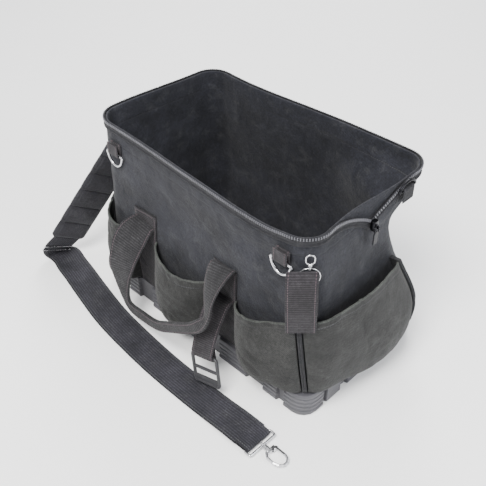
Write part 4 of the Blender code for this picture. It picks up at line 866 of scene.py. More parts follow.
def make_pockets(cloth, binding):
    back_right, back_left = BACK_MIDDLE - BACK_LEG, BACK_MIDDLE + BACK_LEG
    depth = CORNER_DEPTHS
    rows = (
        ("front_left", beside("front_left", 1, -LOOP_RUN), beside_strip(LEFT_LEG, -1),
         (depth["front_left"], 0.0)),
        ("front_middle", beside_strip(LEFT_LEG, 1), beside_strip(RIGHT_LEG, -1), (0.0, 0.0)),
        ("front_right", beside_strip(RIGHT_LEG, 1), beside("front_right", -1),
         (0.0, depth["front_right"])),
        ("right_end", beside("front_right", 1), beside("back_right", -1),
         (depth["front_right"], depth["back_right"])),
        ("back_right", (BACK_MIDDLE - FRONT_RUN / 2,) * 2, beside_strip(back_right, -1),
         (0.0, 0.0)),
        ("back_left", beside_strip(back_left, 1), beside("back_left", -1),
         (0.0, depth["back_left"])),
        ("left_end", beside("back_left", 1), beside("front_left", -1),
         (depth["back_left"], depth["front_left"])),
    )
    for name, start, end, edges in rows:
        make_pocket(name, start, end, edges, cloth, binding)


def make_piping(corner, top, belly, finish):
    """Upright rib at a corner with a bead along both of its edges."""
    foot = TRAY_HEIGHT + SEAT + POCKET_CLOTH
    slant = PIPING_SLANT if corner == "front_right" else 0.0
    profile = [row[0] for row in POCKET_PROFILE]
    rings = []
    for share in np.concatenate(((0.0, 0.005, 0.01), np.linspace(0.03, 1.0, 34))):
        height = foot + (top - foot) * share
        run = CORNERS[corner] - slant * share
        facing, along = ways_at(run)
        depth = belly * np.interp(share, profile, [row[1] for row in POCKET_PROFILE])
        back = wall(run, height, CLOTH_SEAT)
        proud = depth + POCKET_CLOTH
        ring = [back - along * PIPING_WIDTH / 2]
        for across in np.linspace(-1.0, 1.0, 17):
            bead = abs(math.sin(across * math.pi)) ** 1.5
            out = proud + PIPING_PROUD * (0.25 + 0.75 * bead)
            out -= PIPING_PROUD * 0.6 if abs(across) > 0.95 else 0.0
            ring.append(back + along * PIPING_WIDTH / 2 * across + facing * out)
        ring.append(back + along * PIPING_WIDTH / 2)
        rings.append(ring)
    return loft("corner_piping_" + corner, rings, finish, replaces=("piping_" + corner,))


def make_strip(name, leg, seat, finish):
    """Webbing sewn up the wall under a handle leg."""
    rings, seams = [], []
    foot = TRAY_HEIGHT + 2 * SEAT
    shares = np.cos(np.linspace(math.pi, 0.0, 17))
    for height in np.linspace(foot, STRIP_TOP, 44):
        inner = [wall(leg + share * WEBBING / 2, height, seat) for share in shares]
        outer = [wall(leg + share * WEBBING / 2, height,
                      seat + WEBBING_THICK * (0.25 + 0.75 * selvedge(share)))
                 for share in shares]
        rings.append(skin_ring(inner, outer))
        seam = [min(WEBBING / 2 * (1 - abs(share)) - STITCH_IN, STRIP_TOP - 0.004 - height)
                for share in shares]
        seams.append(seam + seam[::-1])
    return loft("webbing_" + name, rings, finish, replaces=(name,), seam=seams)


def make_handle(name, middle, rows, finish):
    """Handle from wall to wall along its rows, with rounded edges."""
    stack = CLOTH_SEAT + WEBBING_THICK + SEAT
    edges = [[], []]
    smooth = smooth_rows(rows, 5)
    for row in smooth:
        for edge in (0, 1):
            along, reach, rise = row[3 * edge:3 * edge + 3]
            place = middle + along * HANDLE_SPREAD
            edges[edge].append(wall(place, rise * HANDLE_RISE, stack + reach * HANDLE_REACH))
    thick = [max(row[6], 0.9) * HANDLE_THICK for row in smooth]
    return ribbon("webbing_" + name, edges[0], edges[1], thick, finish,
                  replaces=(name,), parts=14)


def ring_and_tab(name, run, bar, drop, way, swing, metal, cloth):
    """Ring held by a webbing tab folded round its bar: way 1 hangs below, -1 stands above."""
    facing, along = ways_at(run)
    up = UP * way
    reach = RING_WIRE / 2 + SEAT + TAB_THICK / 2
    centre = centre_of(name + "_tab")
    centre[2] = bar
    flat = [(-RING_WIDTH / 2, 0.0), (0.0, 0.0), (RING_WIDTH / 2, 0.0)]
    flat += [(RING_WIDTH / 2 * math.cos(turn), -drop * math.sin(turn))
             for turn in np.linspace(RING_SHOULDER, math.pi - RING_SHOULDER, 15)]
    lean = up * math.cos(swing) - facing * math.sin(swing)
    flat_loop("wire_" + name, eased_loop(placed(flat, centre, along, lean), 2),
              np.cross(along, lean), RING_WIRE, metal, replaces=(name,))
    path = [(TAB_TAIL, -1.0), (TAB_TAIL / 2, -1.0), (0.0, -1.0)]
    path += [(-math.sin(turn) * reach, -math.cos(turn))
             for turn in np.linspace(0.0, math.pi, 9)[1:-1]]
    path += [(0.0, 1.0), (TAB_TAIL / 2, 1.0), (TAB_TAIL, 1.0)]
    middle = [centre + up * rise + facing * out * reach for rise, out in path]
    band("cloth_" + name + "_tab", middle, along, TAB_WIDTH, TAB_THICK, cloth,
         replaces=(name + "_tab",))
    return centre - lean * drop


def make_corner_loop(finish):
    """Webbing loop folded at its top and sewn down over the corner."""
    front = CLOTH_SEAT + POCKET_CLOTH + PIPING_PROUD + SEAT + LOOP_THICK / 2
    front += CORNER_DEPTHS["front_right"] * LOOP_FOOT_SHARE
    back = CLOTH_SEAT + LOOP_THICK / 2 + LOOP_BACK
    rows = ((front, LOOP_FOOT), (front + LOOP_SLACK, LOOP_FOOT + LOOP_STRAIGHT),
            (front + LOOP_SLACK, LOOP_TOP - LOOP_STRAIGHT),
            (front + LOOP_SLACK / 2, LOOP_TOP - LOOP_TURN), ((front + back) / 2, LOOP_TOP),
            (back + LOOP_SLACK / 4, LOOP_TOP - LOOP_TURN), (back, LOOP_TOP - LOOP_BACK_ENDS[0]),
            (back, LOOP_FOOT + LOOP_BACK_ENDS[1]))
    corner = CORNERS["front_right"]
    line = [wall(corner - LOOP_SHIFT, height, out) for out, height in smooth_rows(rows, 10)]
    return band("webbing_corner_loop", line, ways_at(corner)[1], LOOP_WIDTH, LOOP_THICK, finish,
                replaces=("corner_loop",), parts=16)


def make_corner_clip(steel):
    """Thin wire ring behind the corner loop's top, with a small clip on it."""
    facing, along = ways_at(CORNERS["front_right"])
    centre = centre_of("corner_ring")
    flat_loop("wire_corner_ring", placed(flat_circle(CLIP_RING, 48), centre, along, UP), facing,
              CLIP_RING_WIRE, steel, sides=10, replaces=("corner_ring",))
    link = CLIP_RING_WIRE + 2 * SEAT + CLIP_WIRE
    top = centre + UP * (CLIP_RING / 2)
    flat_loop("clip_eye", placed(flat_circle(link, 24), top, facing, UP), along, CLIP_WIRE, steel,
              replaces=("corner_clip",))
    neck = top + UP * (link / 2)
    turned("clip_knob", neck, neck + UP * CLIP_KNOB,
           [(share, radius * CLIP_KNOB / 2) for share, radius in KNOB_PROFILE], steel)
    bow = rounded_loop(CLIP_LENGTH, 2 * CLIP_KNOB, CLIP_KNOB * 0.9, 8)
    bow_centre = neck + UP * (CLIP_KNOB + CLIP_LENGTH / 2 - CLIP_WIRE / 2)
    flat_loop("clip_bow", placed(bow, bow_centre, UP, along), facing, CLIP_WIRE, steel)


def make_buckle_strap(cloth, plastic):
    """Webbing that hangs from the right strip and folds round the bar of a slide buckle."""
    across = unit(BUCKLE_ACROSS)
    heading = unit(np.array(BUCKLE_DOWN) - across * np.dot(BUCKLE_DOWN, across))
    normal = to_front(np.cross(across, heading))
    bar = np.array(BUCKLE_BAR)
    start = wall(RIGHT_LEG, BUCKLE_RISE, CLOTH_SEAT + WEBBING_THICK + SEAT)
    radius = BUCKLE_WIRE / 2 + SEAT + STRAP_THICK / 2
    fold = fold_rows(bar, heading, normal, radius, BUCKLE_TAIL)
    leave = start + np.array(BUCKLE_LEAVE)
    rows = smooth_rows([start, leave, (leave + fold[0]) / 2 + normal * BUCKLE_SAG, fold[0]], 8)
    line = list(rows[:-1]) + fold
    shares = np.minimum(np.arange(len(line)) / (len(rows) - 1), 1.0)[:, None]
    band("webbing_buckle_strap", line, RIGHT * (1 - shares) + across * shares, BUCKLE_STRAP,
         STRAP_THICK, cloth, replaces=("buckle_strap",), parts=16)
    wide = BUCKLE_STRAP + 2 * LINK_CLEAR + BUCKLE_WIRE
    centre = bar + heading * BUCKLE_LENGTH / 2
    rim = rounded_loop(BUCKLE_LENGTH, wide, BUCKLE_WIRE * 1.3, 6)
    flat_loop("buckle_frame", placed(rim, centre, heading, across), normal,
              BUCKLE_WIRE * BUCKLE_FAT, plastic, replaces=("slide_buckle",))
    side = across * (wide / 2)
    for share in LIP_PLACES:
        spine = [centre + heading * BUCKLE_LENGTH * share + side * part
                 for part in np.linspace(-1.0, 1.0, 9)]
        plate(f"buckle_lip_{round(share * 100)}", spine, heading, [BUCKLE_WIRE * 1.6] * 9,
              BUCKLE_WIRE, plastic)
    turned("buckle_bar", centre - side, centre + side,
           [(share, radius * BUCKLE_WIRE) for share, radius in BAR_PROFILE], plastic)


def make_strap_loop(name, centre, heading, across, steel):
    """Rectangular wire loop that an end of the strap folds round."""
    flat = rounded_loop(STRAP_LOOP_DEPTH, STRAP_NECK + 2 * SEAT + STRAP_LOOP_WIRE,
                        STRAP_LOOP_WIRE * 0.7, 6)
    flat_loop("wire_" + name, placed(flat, centre, heading, across), np.cross(heading, across),
              STRAP_LOOP_WIRE, steel, replaces=(name,))


def make_pad(start, end, across, finish):
    """Shoulder pad: two plump faces with stitched channels across them and a bound edge."""
    down = unit(end - start)
    normal = np.cross(across, down)
    count, parts = PAD_STEPS
    rings, seams = [], []
    for step in range(count + 1):
        share = step / count
        spine = start + (end - start) * share
        swell = abs(math.sin(math.pi * PAD_PARTS * share)) ** 0.55
        rounding = min(1.0, min(share, 1 - share) * 40) ** 0.5
        channel = abs(share * PAD_PARTS - round(share * PAD_PARTS)) / PAD_PARTS
        channel *= np.linalg.norm(end - start)
        half_width = PAD_WIDTH / 2 * (0.985 + 0.015 * swell) * (0.80 + 0.20 * rounding)
        top, bottom, own = [], [], []
        for place in np.cos(np.linspace(math.pi, 0.0, parts + 1)):
            rim = max(0.0, 1 - abs(place) ** 8) ** 0.5
            fat = PAD_THICK / 2 * (0.42 + 0.58 * swell * rim ** 0.8)
            fat *= 0.35 + 0.65 * rounding
            bound = 1.0 if abs(place) < PAD_BOUND else 0.80
            fat = max(fat * bound * (0.30 + 0.70 * rim), PAD_THICK * 0.10)
            middle = spine + across * half_width * place
            top.append(middle + normal * fat)
            bottom.append(middle - normal * fat)
            own.append(min(channel, abs(abs(place) - PAD_BOUND) * half_width))
        rings.append(top + bottom[-2:0:-1])
        seams.append(own + own[-2:0:-1])
    pad = loft("padded_shoulder_pad", rings, finish, replaces=("strap_pad",), seam=seams)
    return pad


def make_strap(ring_low, cloth, pad_finish, steel):
    """Shoulder strap: left hook and loop, upper webbing, pad, lower webbing and right loop."""
    land = np.array(PAD_LAND)
    down = unit(land - ring_low)
    across = unit(np.array(PAD_ACROSS) - down * np.dot(PAD_ACROSS, down))
    normal = np.cross(across, down)
    grip = (RING_WIRE + STRAP_LOOP_WIRE) / 2 + LINK_CLEAR
    middle = ring_low + down * (LEFT_HOOK / 2 - grip)
    link = rounded_loop(LEFT_HOOK, LEFT_HOOK_WIDTH, LEFT_HOOK_WIDTH * 0.48, 8)
    flat_loop("wire_left_hook", placed(link, middle, down, normal), across, STRAP_LOOP_WIRE, steel,
              replaces=("left_hook",))
    upper_bar = middle + down * (LEFT_HOOK / 2 - STRAP_LOOP_WIRE - SEAT)
    lower_bar = upper_bar + down * STRAP_LOOP_DEPTH
    make_strap_loop("left_loop", upper_bar + down * STRAP_LOOP_DEPTH / 2, down, across, steel)
    radius = STRAP_LOOP_WIRE / 2 + SEAT + STRAP_THICK / 2
    pad_top = lower_bar + down * LEFT_TAIL * 1.4
    line = [pad_top - down * SEAT] + fold_rows(lower_bar, -down, normal, radius, LEFT_TAIL)
    line[1] = lower_bar + down * LEFT_TAIL * 0.7 + normal * radius * 0.7
    band("webbing_strap_upper", line, across, STRAP_NECK, STRAP_THICK, cloth,
         replaces=("strap_upper",))
    make_pad(pad_top, land, across, pad_finish)
    rows = [(*(land + down * SEAT), *across)]
    for along, lane, rise, tilt in STRAP_ROWS:
        way = across * tilt + np.array((-0.15, -1.0, 0.0)) * (1 - tilt)
        rows.append((along * BASE_LENGTH / 2, lane * STRAP_LANE, rise * STRAP_THICK, *way))
    centres, ways = np.split(smooth_rows(rows, 5), 2, axis=1)
    centres[:, 2] = np.maximum(centres[:, 2], STRAP_THICK / 2)
    at = centres[ADJUSTER_PLACE]
    way, side = unit(at - centres[ADJUSTER_PLACE - 1]), unit(ways[ADJUSTER_PLACE])
    face = to_front(unit(np.cross(side, way)))
    adjuster = rounded_loop(ADJUSTER_LENGTH, STRAP_WIDTH + 2 * ADJUSTER_WIRE, ADJUSTER_WIRE, 6)
    seat = at + face * (STRAP_THICK + ADJUSTER_WIRE) / 2
    flat_loop("wire_strap_adjuster", placed(adjuster, seat, way, side), face, ADJUSTER_WIRE, steel)
    bar = np.array((STRAP_END, STRAP_LANE, radius + STRAP_THICK / 2))
    fold = fold_rows(bar, RIGHT, UP, radius, STRAP_TAIL)
    widths = [STRAP_WIDTH] * len(centres) + [STRAP_NECK] * len(fold)
    band("webbing_strap_lower", np.vstack((centres, fold)), np.vstack((ways, [-BACK] * len(fold))),
         widths, STRAP_THICK, cloth, replaces=("strap_lower",), parts=16)
    make_strap_loop("right_loop", bar + RIGHT * STRAP_LOOP_DEPTH / 2, RIGHT, BACK, steel)


def make_tray(finish):
    """Moulded tray: ribbed feet and cleats outside, plain wall and floor inside."""
    rings = []
    inner_size = (SHELL_LENGTH + 2 * SEAT, SHELL_WIDTH + 2 * SEAT, SHELL_CORNER + SEAT)
    first, last = RIB_MARGIN, TRAY_HEIGHT - RIB_MARGIN
    heights = np.concatenate(((0.0, 0.0006, 0.0016, 0.003), np.linspace(first, last, 49),
                              (TRAY_HEIGHT - TRAY_ROUND, TRAY_HEIGHT - TRAY_ROUND / 2,
                               TRAY_HEIGHT - 0.0005, TRAY_HEIGHT)))
    loop = 2 * (BASE_LENGTH + BASE_WIDTH - 4 * BASE_CORNER) + 2 * math.pi * BASE_CORNER
    inner_loop = LOOP_RUN + 2 * math.pi * SEAT
    rows = tray_stations()
    fine = []
    for (run, proud, ribbed), after in zip(rows, rows[1:] + [(rows[0][0] + loop, *rows[0][1:])]):
        steps = max(int((after[0] - run) / TRAY_STEP), 1) if proud == after[1] else 5
        for step in range(steps):
            share = step / steps
            eased = share * share * (3 - 2 * share)
            fine.append((run + (after[0] - run) * share, proud + (after[1] - proud) * eased,
                         ribbed + (after[2] - ribbed) * share))
    for run, proud, ribbed in fine:
        place, facing = outline(run, BASE_LENGTH, BASE_WIDTH, BASE_CORNER)
        ring = []
        for height in heights:
            edge = min(height, TRAY_HEIGHT - height) / TRAY_ROUND
            cleat = 1.0 - 0.25 * max(0.0, 1 - edge) ** 2
            wave = (height - first) / (last - first) * RIB_COUNT
            groove = 0.0
            if 0 < wave < RIB_COUNT:
                groove = max(0.0, 1 - abs((wave % 1.0) - 0.5) / 0.24) ** 0.6
            out = CLEAT_PROUD * proud * cleat - RIB_DEPTH * groove * ribbed * min(proud * 2, 1.0)
            out -= (TRAY_EDGE if height in (0.0, TRAY_HEIGHT) else 0.0) * (1 - proud)
            ring.append((*(place + facing * out), height))
        inside = outline(run * inner_loop / loop, *inner_size)[0]
        ring += [(*inside, TRAY_HEIGHT), (*inside, TRAY_HEIGHT - 0.002), (*inside, TRAY_FLOOR)]
        rings.append(ring)
    return loft("moulded_tray", rings, finish, replaces=("base_tray",), closed=True,
                capped=True)


def fill(node, **values):
    """Set a node's inputs by name, with _ for a space: a socket is linked, the rest is a value."""
    for key, value in values.items():
        socket = node.inputs[key.replace("_", " ")]
        if isinstance(value, bpy.types.NodeSocket):
            node.id_data.links.new(value, socket)
        else:
            socket.default_value = value


def nodes_of(name, roughness, metallic=0.0):
    """New material with its tree and principled shader."""
    made = bpy.data.materials.new(name)
    made.use_nodes = True
    shader = made.node_tree.nodes["Principled BSDF"]
    fill(shader, Roughness=roughness, Metallic=metallic)
    return made, made.node_tree, shader


def add(tree, kind, **values):
    """Node of a kind; settings by attribute name, inputs by in_NUMBER."""
    node = tree.nodes.new(kind)
    for key, value in values.items():
        if key.startswith("in_"):
            socket = node.inputs[int(key[3:])]
            if isinstance(value, bpy.types.NodeSocket):
                tree.links.new(value, socket)
            else:
                socket.default_value = value
        else:
            setattr(node, key, value)
    return node


def maths(tree, operation, first, second=0.0, third=0.0):
    return add(tree, "ShaderNodeMath", operation=operation, in_0=first, in_1=second,
               in_2=third).outputs[0]


def ramp(tree, value, stops):
    """Colour ramp of (place, grey or colour) stops."""
    node = add(tree, "ShaderNodeValToRGB", in_0=value)
    while len(node.color_ramp.elements) < len(stops):
        node.color_ramp.elements.new(0.5)
    for element, (place, colour) in zip(node.color_ramp.elements, stops):
        element.position = place
        colour = (colour,) * 3 if isinstance(colour, float) else colour
        element.color = (*colour, 1.0)
    return node.outputs[0]


def mix(tree, share, first, second, blend="MIX"):
    node = add(tree, "ShaderNodeMix", data_type="RGBA", blend_type=blend)
    for index, value in ((0, share), (6, first), (7, second)):
        socket = node.inputs[index]
        if isinstance(value, bpy.types.NodeSocket):
            tree.links.new(value, socket)
        else:
            socket.default_value = (*value, 1.0) if isinstance(value, tuple) else value
    return node.outputs[2]


def place_noise(tree, scale, detail=4.0, roughness=0.6):
    """Noise by the piece's own coordinates in metres."""
    made = add(tree, "ShaderNodeTexNoise",
               in_0=add(tree, "ShaderNodeTexCoord").outputs["Object"])
    fill(made, Scale=scale, Detail=detail, Roughness=roughness)
    return made.outputs["Fac"]


def bump(tree, height, strength, distance, under=None):
    """Normal raised by a height in metres, over another normal if one is given."""
    made = add(tree, "ShaderNodeBump")
    fill(made, Strength=strength, Distance=distance, Height=height)
    if under is not None:
        fill(made, Normal=under)
    return made.outputs["Normal"]


def lay_values(tree):
    """The corner values: metres along the piece, metres across it, distance from its seam."""
    read = add(tree, "ShaderNodeAttribute", attribute_name="lay")
    parts = add(tree, "ShaderNodeSeparateXYZ", in_0=read.outputs["Vector"])
    return parts.outputs[0], parts.outputs[1], parts.outputs[2]


def wave(tree, value, pitch):
    """Smooth 0 to 1 wave along a value in metres."""
    turned_value = maths(tree, "MULTIPLY", value, 2 * math.pi / pitch)
    return maths(tree, "MULTIPLY_ADD", maths(tree, "SINE", turned_value), 0.5, 0.5)


def cloth(name, colour, light, thread, rib=None, weave=0.5, seam_colour=None, rough=0.85,
          sheen=0.06, stitch_depth=0.7, mottle=0.9):
    """Woven cloth with mottled colour, a thread weave, optional ribs, a dashed seam and painted
    shade along it.
    """
    made, tree, shader = nodes_of(name, rough)
    along, across, seam = lay_values(tree)
    warp = wave(tree, along, thread)
    weft = wave(tree, across, thread)
    phase = maths(tree, "GREATER_THAN", maths(tree, "MULTIPLY", maths(tree, "SINE", maths(
        tree, "MULTIPLY", along, math.pi / thread)), maths(tree, "SINE", maths(
            tree, "MULTIPLY", across, math.pi / thread))), 0.0)
    basket = maths(tree, "ADD", maths(tree, "MULTIPLY", warp, phase), maths(
        tree, "MULTIPLY", weft, maths(tree, "SUBTRACT", 1.0, phase)))
    cloud = place_noise(tree, 22.0, 6.0)
    speck = place_noise(tree, 700.0, 3.0)
    worn = place_noise(tree, 60.0, 5.0)
    tone = mix(tree, ramp(tree, cloud, ((0.30, 0.0), (0.72, 1.0))), colour, light)
    grain = maths(tree, "MULTIPLY_ADD", speck, mottle, 1.0 - mottle / 2)
    shade = maths(tree, "MULTIPLY_ADD", basket, weave, 1.0 - weave * 0.6)
    shade = maths(tree, "MULTIPLY", shade, grain)
    grit = place_noise(tree, 360.0, 2.0)
    shade = maths(tree, "MULTIPLY", shade, maths(tree, "MULTIPLY_ADD", grit, 1.7, 0.15))
    height = maths(tree, "MULTIPLY_ADD", basket, 0.5, maths(tree, "MULTIPLY", grit, 1.2))
    if rib:
        ribs = wave(tree, across if rib[1] == "across" else along, rib[0])
        shade = maths(tree, "MULTIPLY", shade, maths(tree, "MULTIPLY_ADD", ribs, 0.80, 0.55))
        height = maths(tree, "ADD", height, maths(tree, "MULTIPLY", ribs, 0.9))
    dust = ramp(tree, worn, ((0.52, 0.0), (0.80, 1.0)))
    tone = mix(tree, maths(tree, "MULTIPLY", dust, 0.16), tone, (0.12, 0.12, 0.12))
    final = mix(tree, 1.0, tone, add(tree, "ShaderNodeCombineColor", in_0=shade, in_1=shade,
                                     in_2=shade).outputs[0], "MULTIPLY")
    if seam_colour:
        near = maths(tree, "LESS_THAN", maths(tree, "ABSOLUTE", seam), STITCH_WIDTH / 2)
        beat = maths(tree, "FRACT", maths(tree, "DIVIDE", along, STITCH_PITCH))
        dash = maths(tree, "LESS_THAN", beat, 0.66)
        thread_at = maths(tree, "MULTIPLY", near, dash)
        channel = ramp(tree, maths(tree, "DIVIDE", maths(tree, "ABSOLUTE", seam), 0.0022),
                       ((0.0, 0.0), (1.0, 1.0)))
        # painted shade: within 2.2 mm of a seam the cloth is darkened towards near black, as shade
        # in its sewn groove
        final = mix(tree, maths(tree, "MULTIPLY", maths(tree, "SUBTRACT", 1.0, channel), 0.55),
                    final, (0.012, 0.012, 0.014))
        final = mix(tree, thread_at, final, seam_colour)
        height = maths(tree, "ADD", height, maths(tree, "MULTIPLY", channel, stitch_depth * 2))
        height = maths(tree, "ADD", height, maths(tree, "MULTIPLY", thread_at, 1.2))
    weave_normal = bump(tree, height, 0.55, 0.0006)
    fill(shader, Base_Color=final, Normal=bump(tree, cloud, 0.55, 0.006, weave_normal),
         Roughness=maths(tree, "MULTIPLY_ADD", speck, 0.18, rough - 0.10), Sheen_Weight=sheen,
         Sheen_Roughness=0.5, Specular_IOR_Level=0.25)
    return made


def plastic(name, colour, light, rough, grain=0.5):
    """Moulded plastic with a fine texture, scuffs and a little dust."""
    made, tree, shader = nodes_of(name, rough)
    pits = place_noise(tree, 1600.0, 2.0)
    scuff = place_noise(tree, 95.0, 8.0, 0.75)
    cloud = place_noise(tree, 14.0, 3.0)
    tone = mix(tree, ramp(tree, cloud, ((0.3, 0.0), (0.7, 1.0))), colour, light)
    marks = ramp(tree, scuff, ((0.56, 0.0), (0.66, 1.0)))
    tone = mix(tree, maths(tree, "MULTIPLY", marks, 0.30), tone,
               tuple(min(1.0, part * 1.7 + 0.03) for part in light))
    dark = ramp(tree, scuff, ((0.30, 1.0), (0.42, 0.0)))
    tone = mix(tree, maths(tree, "MULTIPLY", dark, 0.25), tone,
               tuple(part * 0.55 for part in colour))
    pitted = maths(tree, "ADD", pits, maths(tree, "MULTIPLY", scuff, 0.6))
    fill(shader, Base_Color=tone, Normal=bump(tree, pitted, grain, 0.0003),
         Roughness=maths(tree, "MULTIPLY_ADD", scuff, 0.25, rough - 0.12))
    return made


def metal(name, colour, rough, wear=0.25):
    """Plated or coated metal with faint scratches and uneven gloss."""
    made, tree, shader = nodes_of(name, rough, 1.0)
    cloud = place_noise(tree, 120.0, 6.0)
    fine = place_noise(tree, 1500.0, 3.0)
    tone = mix(tree, ramp(tree, cloud, ((0.35, 0.0), (0.75, 1.0))), colour,
               tuple(part * (1 - wear) for part in colour))
    fill(shader, Base_Color=tone, Normal=bump(tree, fine, 0.03, 0.0001),
         Roughness=maths(tree, "MULTIPLY_ADD", cloud, 0.16, rough - 0.06))
    return made


def make_finishes():
    """Every finish of the scene by name, as its material and its record slot."""
    thread = (0.052, 0.052, 0.056)
    made = {
        "shell": cloth("shell_fabric", (0.0052, 0.0056, 0.0086), (0.0175, 0.0183, 0.0250), 0.0013,
                       seam_colour=thread, weave=0.75),
        "pocket": cloth("pocket_fabric", (0.0085, 0.0088, 0.0086), (0.0225, 0.0228, 0.0220), 0.0014,
                        seam_colour=thread, weave=0.80),
        # hem cord: lighter and greener than the pocket cloth, along each pocket's top edge
        "hem": cloth("hem_binding", (0.024, 0.027, 0.025), (0.056, 0.060, 0.055), 0.0012,
                     weave=0.6),
        "handle": cloth("handle_fabric", (0.0095, 0.0092, 0.0104), (0.0255, 0.0248, 0.0272), 0.0014,
                        rib=(0.0034, "along"), seam_colour=(0.075, 0.052, 0.060), weave=0.50),
        "webbing": cloth("grey_webbing", (0.0088, 0.0076, 0.0092), (0.0240, 0.0212, 0.0250), 0.0014,
                         rib=(0.0030, "along"), seam_colour=(0.075, 0.052, 0.060), weave=0.50),
        "strap": cloth("strap_webbing", (0.0120, 0.0118, 0.0155), (0.0320, 0.0310, 0.0395), 0.0014,
                       rib=(0.0036, "across"), seam_colour=(0.055, 0.055, 0.060), weave=0.70),
        "trim": cloth("black_trim", (0.004, 0.004, 0.006), (0.012, 0.012, 0.015), 0.0011,
                      seam_colour=(0.022, 0.022, 0.026), weave=0.55),
        "teeth": plastic("zip_teeth", (0.055, 0.055, 0.064), (0.110, 0.110, 0.125), 0.32),
        "pad": cloth("pad_fabric", (0.0140, 0.0135, 0.0170), (0.0360, 0.0350, 0.0420), 0.0014,
                     seam_colour=(0.030, 0.030, 0.034), weave=0.70, stitch_depth=1.2),
        "tray": plastic("tray_plastic_finish", (0.032, 0.031, 0.037), (0.056, 0.055, 0.063), 0.52),
        "buckle": plastic("buckle_plastic", (0.012, 0.012, 0.014), (0.028, 0.028, 0.031), 0.40),
        "steel": metal("bright_plate", (0.66, 0.66, 0.68), 0.24),
        "black_steel": metal("black_coat", (0.020, 0.020, 0.023), 0.36),
    }
    return {name: (material, SLOTS[name]) for name, material in made.items()}


def area_light(name, place, aim_height, size, power, colour):
    """Soft round light aimed over the middle of the bag."""
    data = bpy.data.lights.new(name, "AREA")
    data.shape = "DISK"
    data.size = size
    data.energy = power
    data.color = colour
    made = bpy.data.objects.new(name, data)
    made.location = place
    aim = Vector((0.0, 0.0, aim_height)) - Vector(place)
    made.rotation_euler = aim.to_track_quat("-Z", "Y").to_euler()
    bpy.context.scene.collection.objects.link(made)


def make_studio():
    """Pale floor, soft lights and the photograph's camera."""
    scene = bpy.context.scene
    mesh = bpy.data.meshes.new("floor")
    corners = ((-1, -1), (1, -1), (1, 1), (-1, 1))
    mesh.from_pydata([(x * FLOOR_REACH, y * FLOOR_REACH, 0) for x, y in corners], [],
                     [(0, 1, 2, 3)])
    floor = bpy.data.objects.new("floor", mesh)
    floor.location = (0.0, 0.0, -SEAT)
    made, tree, shader = nodes_of("pale_floor", 0.75)
    cloud = place_noise(tree, 3.0, 4.0)
    fill(shader, Base_Color=mix(tree, cloud, (0.93, 0.93, 0.93), (0.96, 0.96, 0.96)))
    mesh.materials.append(made)
    scene.collection.objects.link(floor)
    for row in LIGHTS:
        area_light(*row)
    scene.world = bpy.data.worlds.new("studio")
    scene.world.use_nodes = True
    fill(scene.world.node_tree.nodes["Background"], Color=SKY, Strength=1.0)
    camera = bpy.data.objects.new("camera", bpy.data.cameras.new("camera"))
    camera.data.lens = CAMERA_LENS
    camera.data.sensor_width = 36.0
    camera.location = CAMERA_PLACE
    level = math.cos(CAMERA_PITCH)
    aim = Vector((-math.sin(CAMERA_YAW) * level, math.cos(CAMERA_YAW) * level,
                  -math.sin(CAMERA_PITCH)))
    camera.rotation_euler = aim.to_track_quat("-Z", "Y").to_euler()
    scene.collection.objects.link(camera)
    scene.camera = camera


def plate(name, spine, across, width, thick, finish, body="bag", replaces=()):
    """Rounded plate along a spine of points, as wide as said at each of them."""
    spine, across = np.array(spine, float), unit(across)
    rings = []
    for point, way, half in zip(spine, np.gradient(spine, axis=0), np.array(width) / 2):
        normal = unit(np.cross(way, across))
        rings.append([point + across * half * blunt(math.cos(turn), 0.35)
                      + normal * thick / 2 * blunt(math.sin(turn), 0.55) for turn in circle(24)])
    return loft(name, rings, finish, body=body, replaces=replaces)


def make_slider(finish):
    """Zip slider with a cast body, a bail and a plate pull in a wire frame."""
    low = np.array(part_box("zip_slider")[0])
    _, y, z = centre_of("zip_slider")
    deep, wide, tall = SLIDER_SIZE
    shares = np.linspace(0.0, 1.0, 15)
    spine = [(low[0] + deep / 2, y, z + tall / 2 * (1 - 2 * share)) for share in shares]
    widths = [wide * (1.08 - 0.34 * abs(2 * share - 0.9) ** 3) for share in shares]
    widths[0], widths[-1] = widths[1] * 0.82, widths[-2] * 0.82
    plate("slider_body", spine, BACK, widths, deep, finish, replaces=("zip_slider",))
    reach = PULL_THICK + 2 * SEAT + BAIL_WIRE
    half = PULL_THICK / 2 + SEAT + BAIL_WIRE / 2
    root = low[0] + deep - BAIL_WIRE / 2
    arch = [(root + reach * math.sin(turn), y, z + half * math.cos(turn))
            for turn in np.linspace(0.0, math.pi, 17)]
    flat_loop("slider_bail", arch, BACK, BAIL_WIRE, finish, closed=False)
    x, y, z = centre_of("zip_pull")
    ring = rounded_loop(PULL_LENGTH, PULL_WIDTH, PULL_THICK * 1.6, 6)
    flat_loop("pull_frame", placed(ring, (x, y, z), UP, BACK), RIGHT, PULL_THICK, finish,
              body="pull", replaces=("zip_pull",))
    top, foot = z + PULL_LENGTH * 0.22, z - PULL_LENGTH * 0.5
    shares = np.linspace(0.0, 1.0, 17)
    spine = [(x, y, top + (foot - top) * share) for share in shares]
    widths = [PULL_WIDTH * min(1.0, 0.55 + 3 * min(share, 1 - share)) for share in shares]
    plate("pull_plate", spine, BACK, widths, PULL_THICK * 0.8, finish, body="pull")


def dress(node, finish):
    """Give a carried-over node a better material and softened edges."""
    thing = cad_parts[node]
    for slot in thing.material_slots:
        slot.material = finish[0]
    bevel = thing.modifiers.new("edge", "BEVEL")
    bevel.width = 0.0003
    bevel.segments = 2
    bevel.limit_method = "ANGLE"


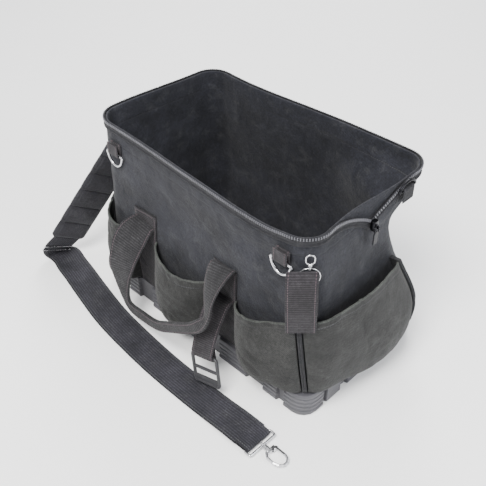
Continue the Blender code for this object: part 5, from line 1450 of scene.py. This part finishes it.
def main():
    """Every piece, on the frame's bodies."""
    finish = make_finishes()
    make_studio()
    make_tray(finish["tray"])
    make_shell(finish["shell"])
    place = RIGHT_MIDDLE + ZIP_PLACE
    spans = (("front", LEFT_MIDDLE - LOOP_RUN + SEAT, place - SEAT),
             ("back", place + SEAT, LEFT_MIDDLE - SEAT))
    for side, start, end in spans:
        make_tape("tape_" + side, start, end, finish["trim"], ("zip_tape_" + side,))
        make_teeth("teeth_" + side, start, end, finish["teeth"])
    make_pockets(finish["pocket"], finish["hem"])
    for corner, top in PIPING_TOPS.items():
        make_piping(corner, top, CORNER_DEPTHS[corner], finish["trim"])
    webbing = finish["webbing"]
    for name, leg, seat in (("front_left", LEFT_LEG, CLOTH_SEAT),
                            ("front_right", RIGHT_LEG, CLOTH_SEAT),
                            ("back_right", BACK_MIDDLE - BACK_LEG, PINCH_SEAT),
                            ("back_left", BACK_MIDDLE + BACK_LEG, CLOTH_SEAT)):
        make_strip("strip_" + name, leg, seat, webbing)
    make_handle("handle_front", (LEFT_LEG + RIGHT_LEG) / 2, FRONT_HANDLE, finish["handle"])
    make_handle("handle_back", BACK_MIDDLE, BACK_HANDLE, finish["handle"])
    for side, run in (("left", -FRONT_RING_PLACE), ("right", FRONT_RING_PLACE)):
        ring_and_tab("front_ring_" + side, run, FRONT_RING_RISE, RING_DROP, 1, 0.0,
                     finish["steel"], webbing)
    ring_and_tab("end_ring_right", RIGHT_MIDDLE + RIGHT_RING_PLACE, RIGHT_RING_RISE,
                 RIGHT_RING_DROP, -1, 0.0, finish["black_steel"], finish["trim"])
    low = ring_and_tab("end_ring_left", LEFT_MIDDLE - LEFT_RING_PLACE, END_RING_RISE, RING_DROP, 1,
                       END_RING_SWING, finish["steel"], webbing)
    make_corner_loop(webbing)
    make_corner_clip(finish["steel"])
    make_buckle_strap(webbing, finish["buckle"])
    make_strap(low, finish["strap"], finish["pad"], finish["steel"])
    for node in ("swivel_eye", "hook_body", "hook_gate"):
        dress(node, finish["steel"])
    make_slider(finish["black_steel"])


main()
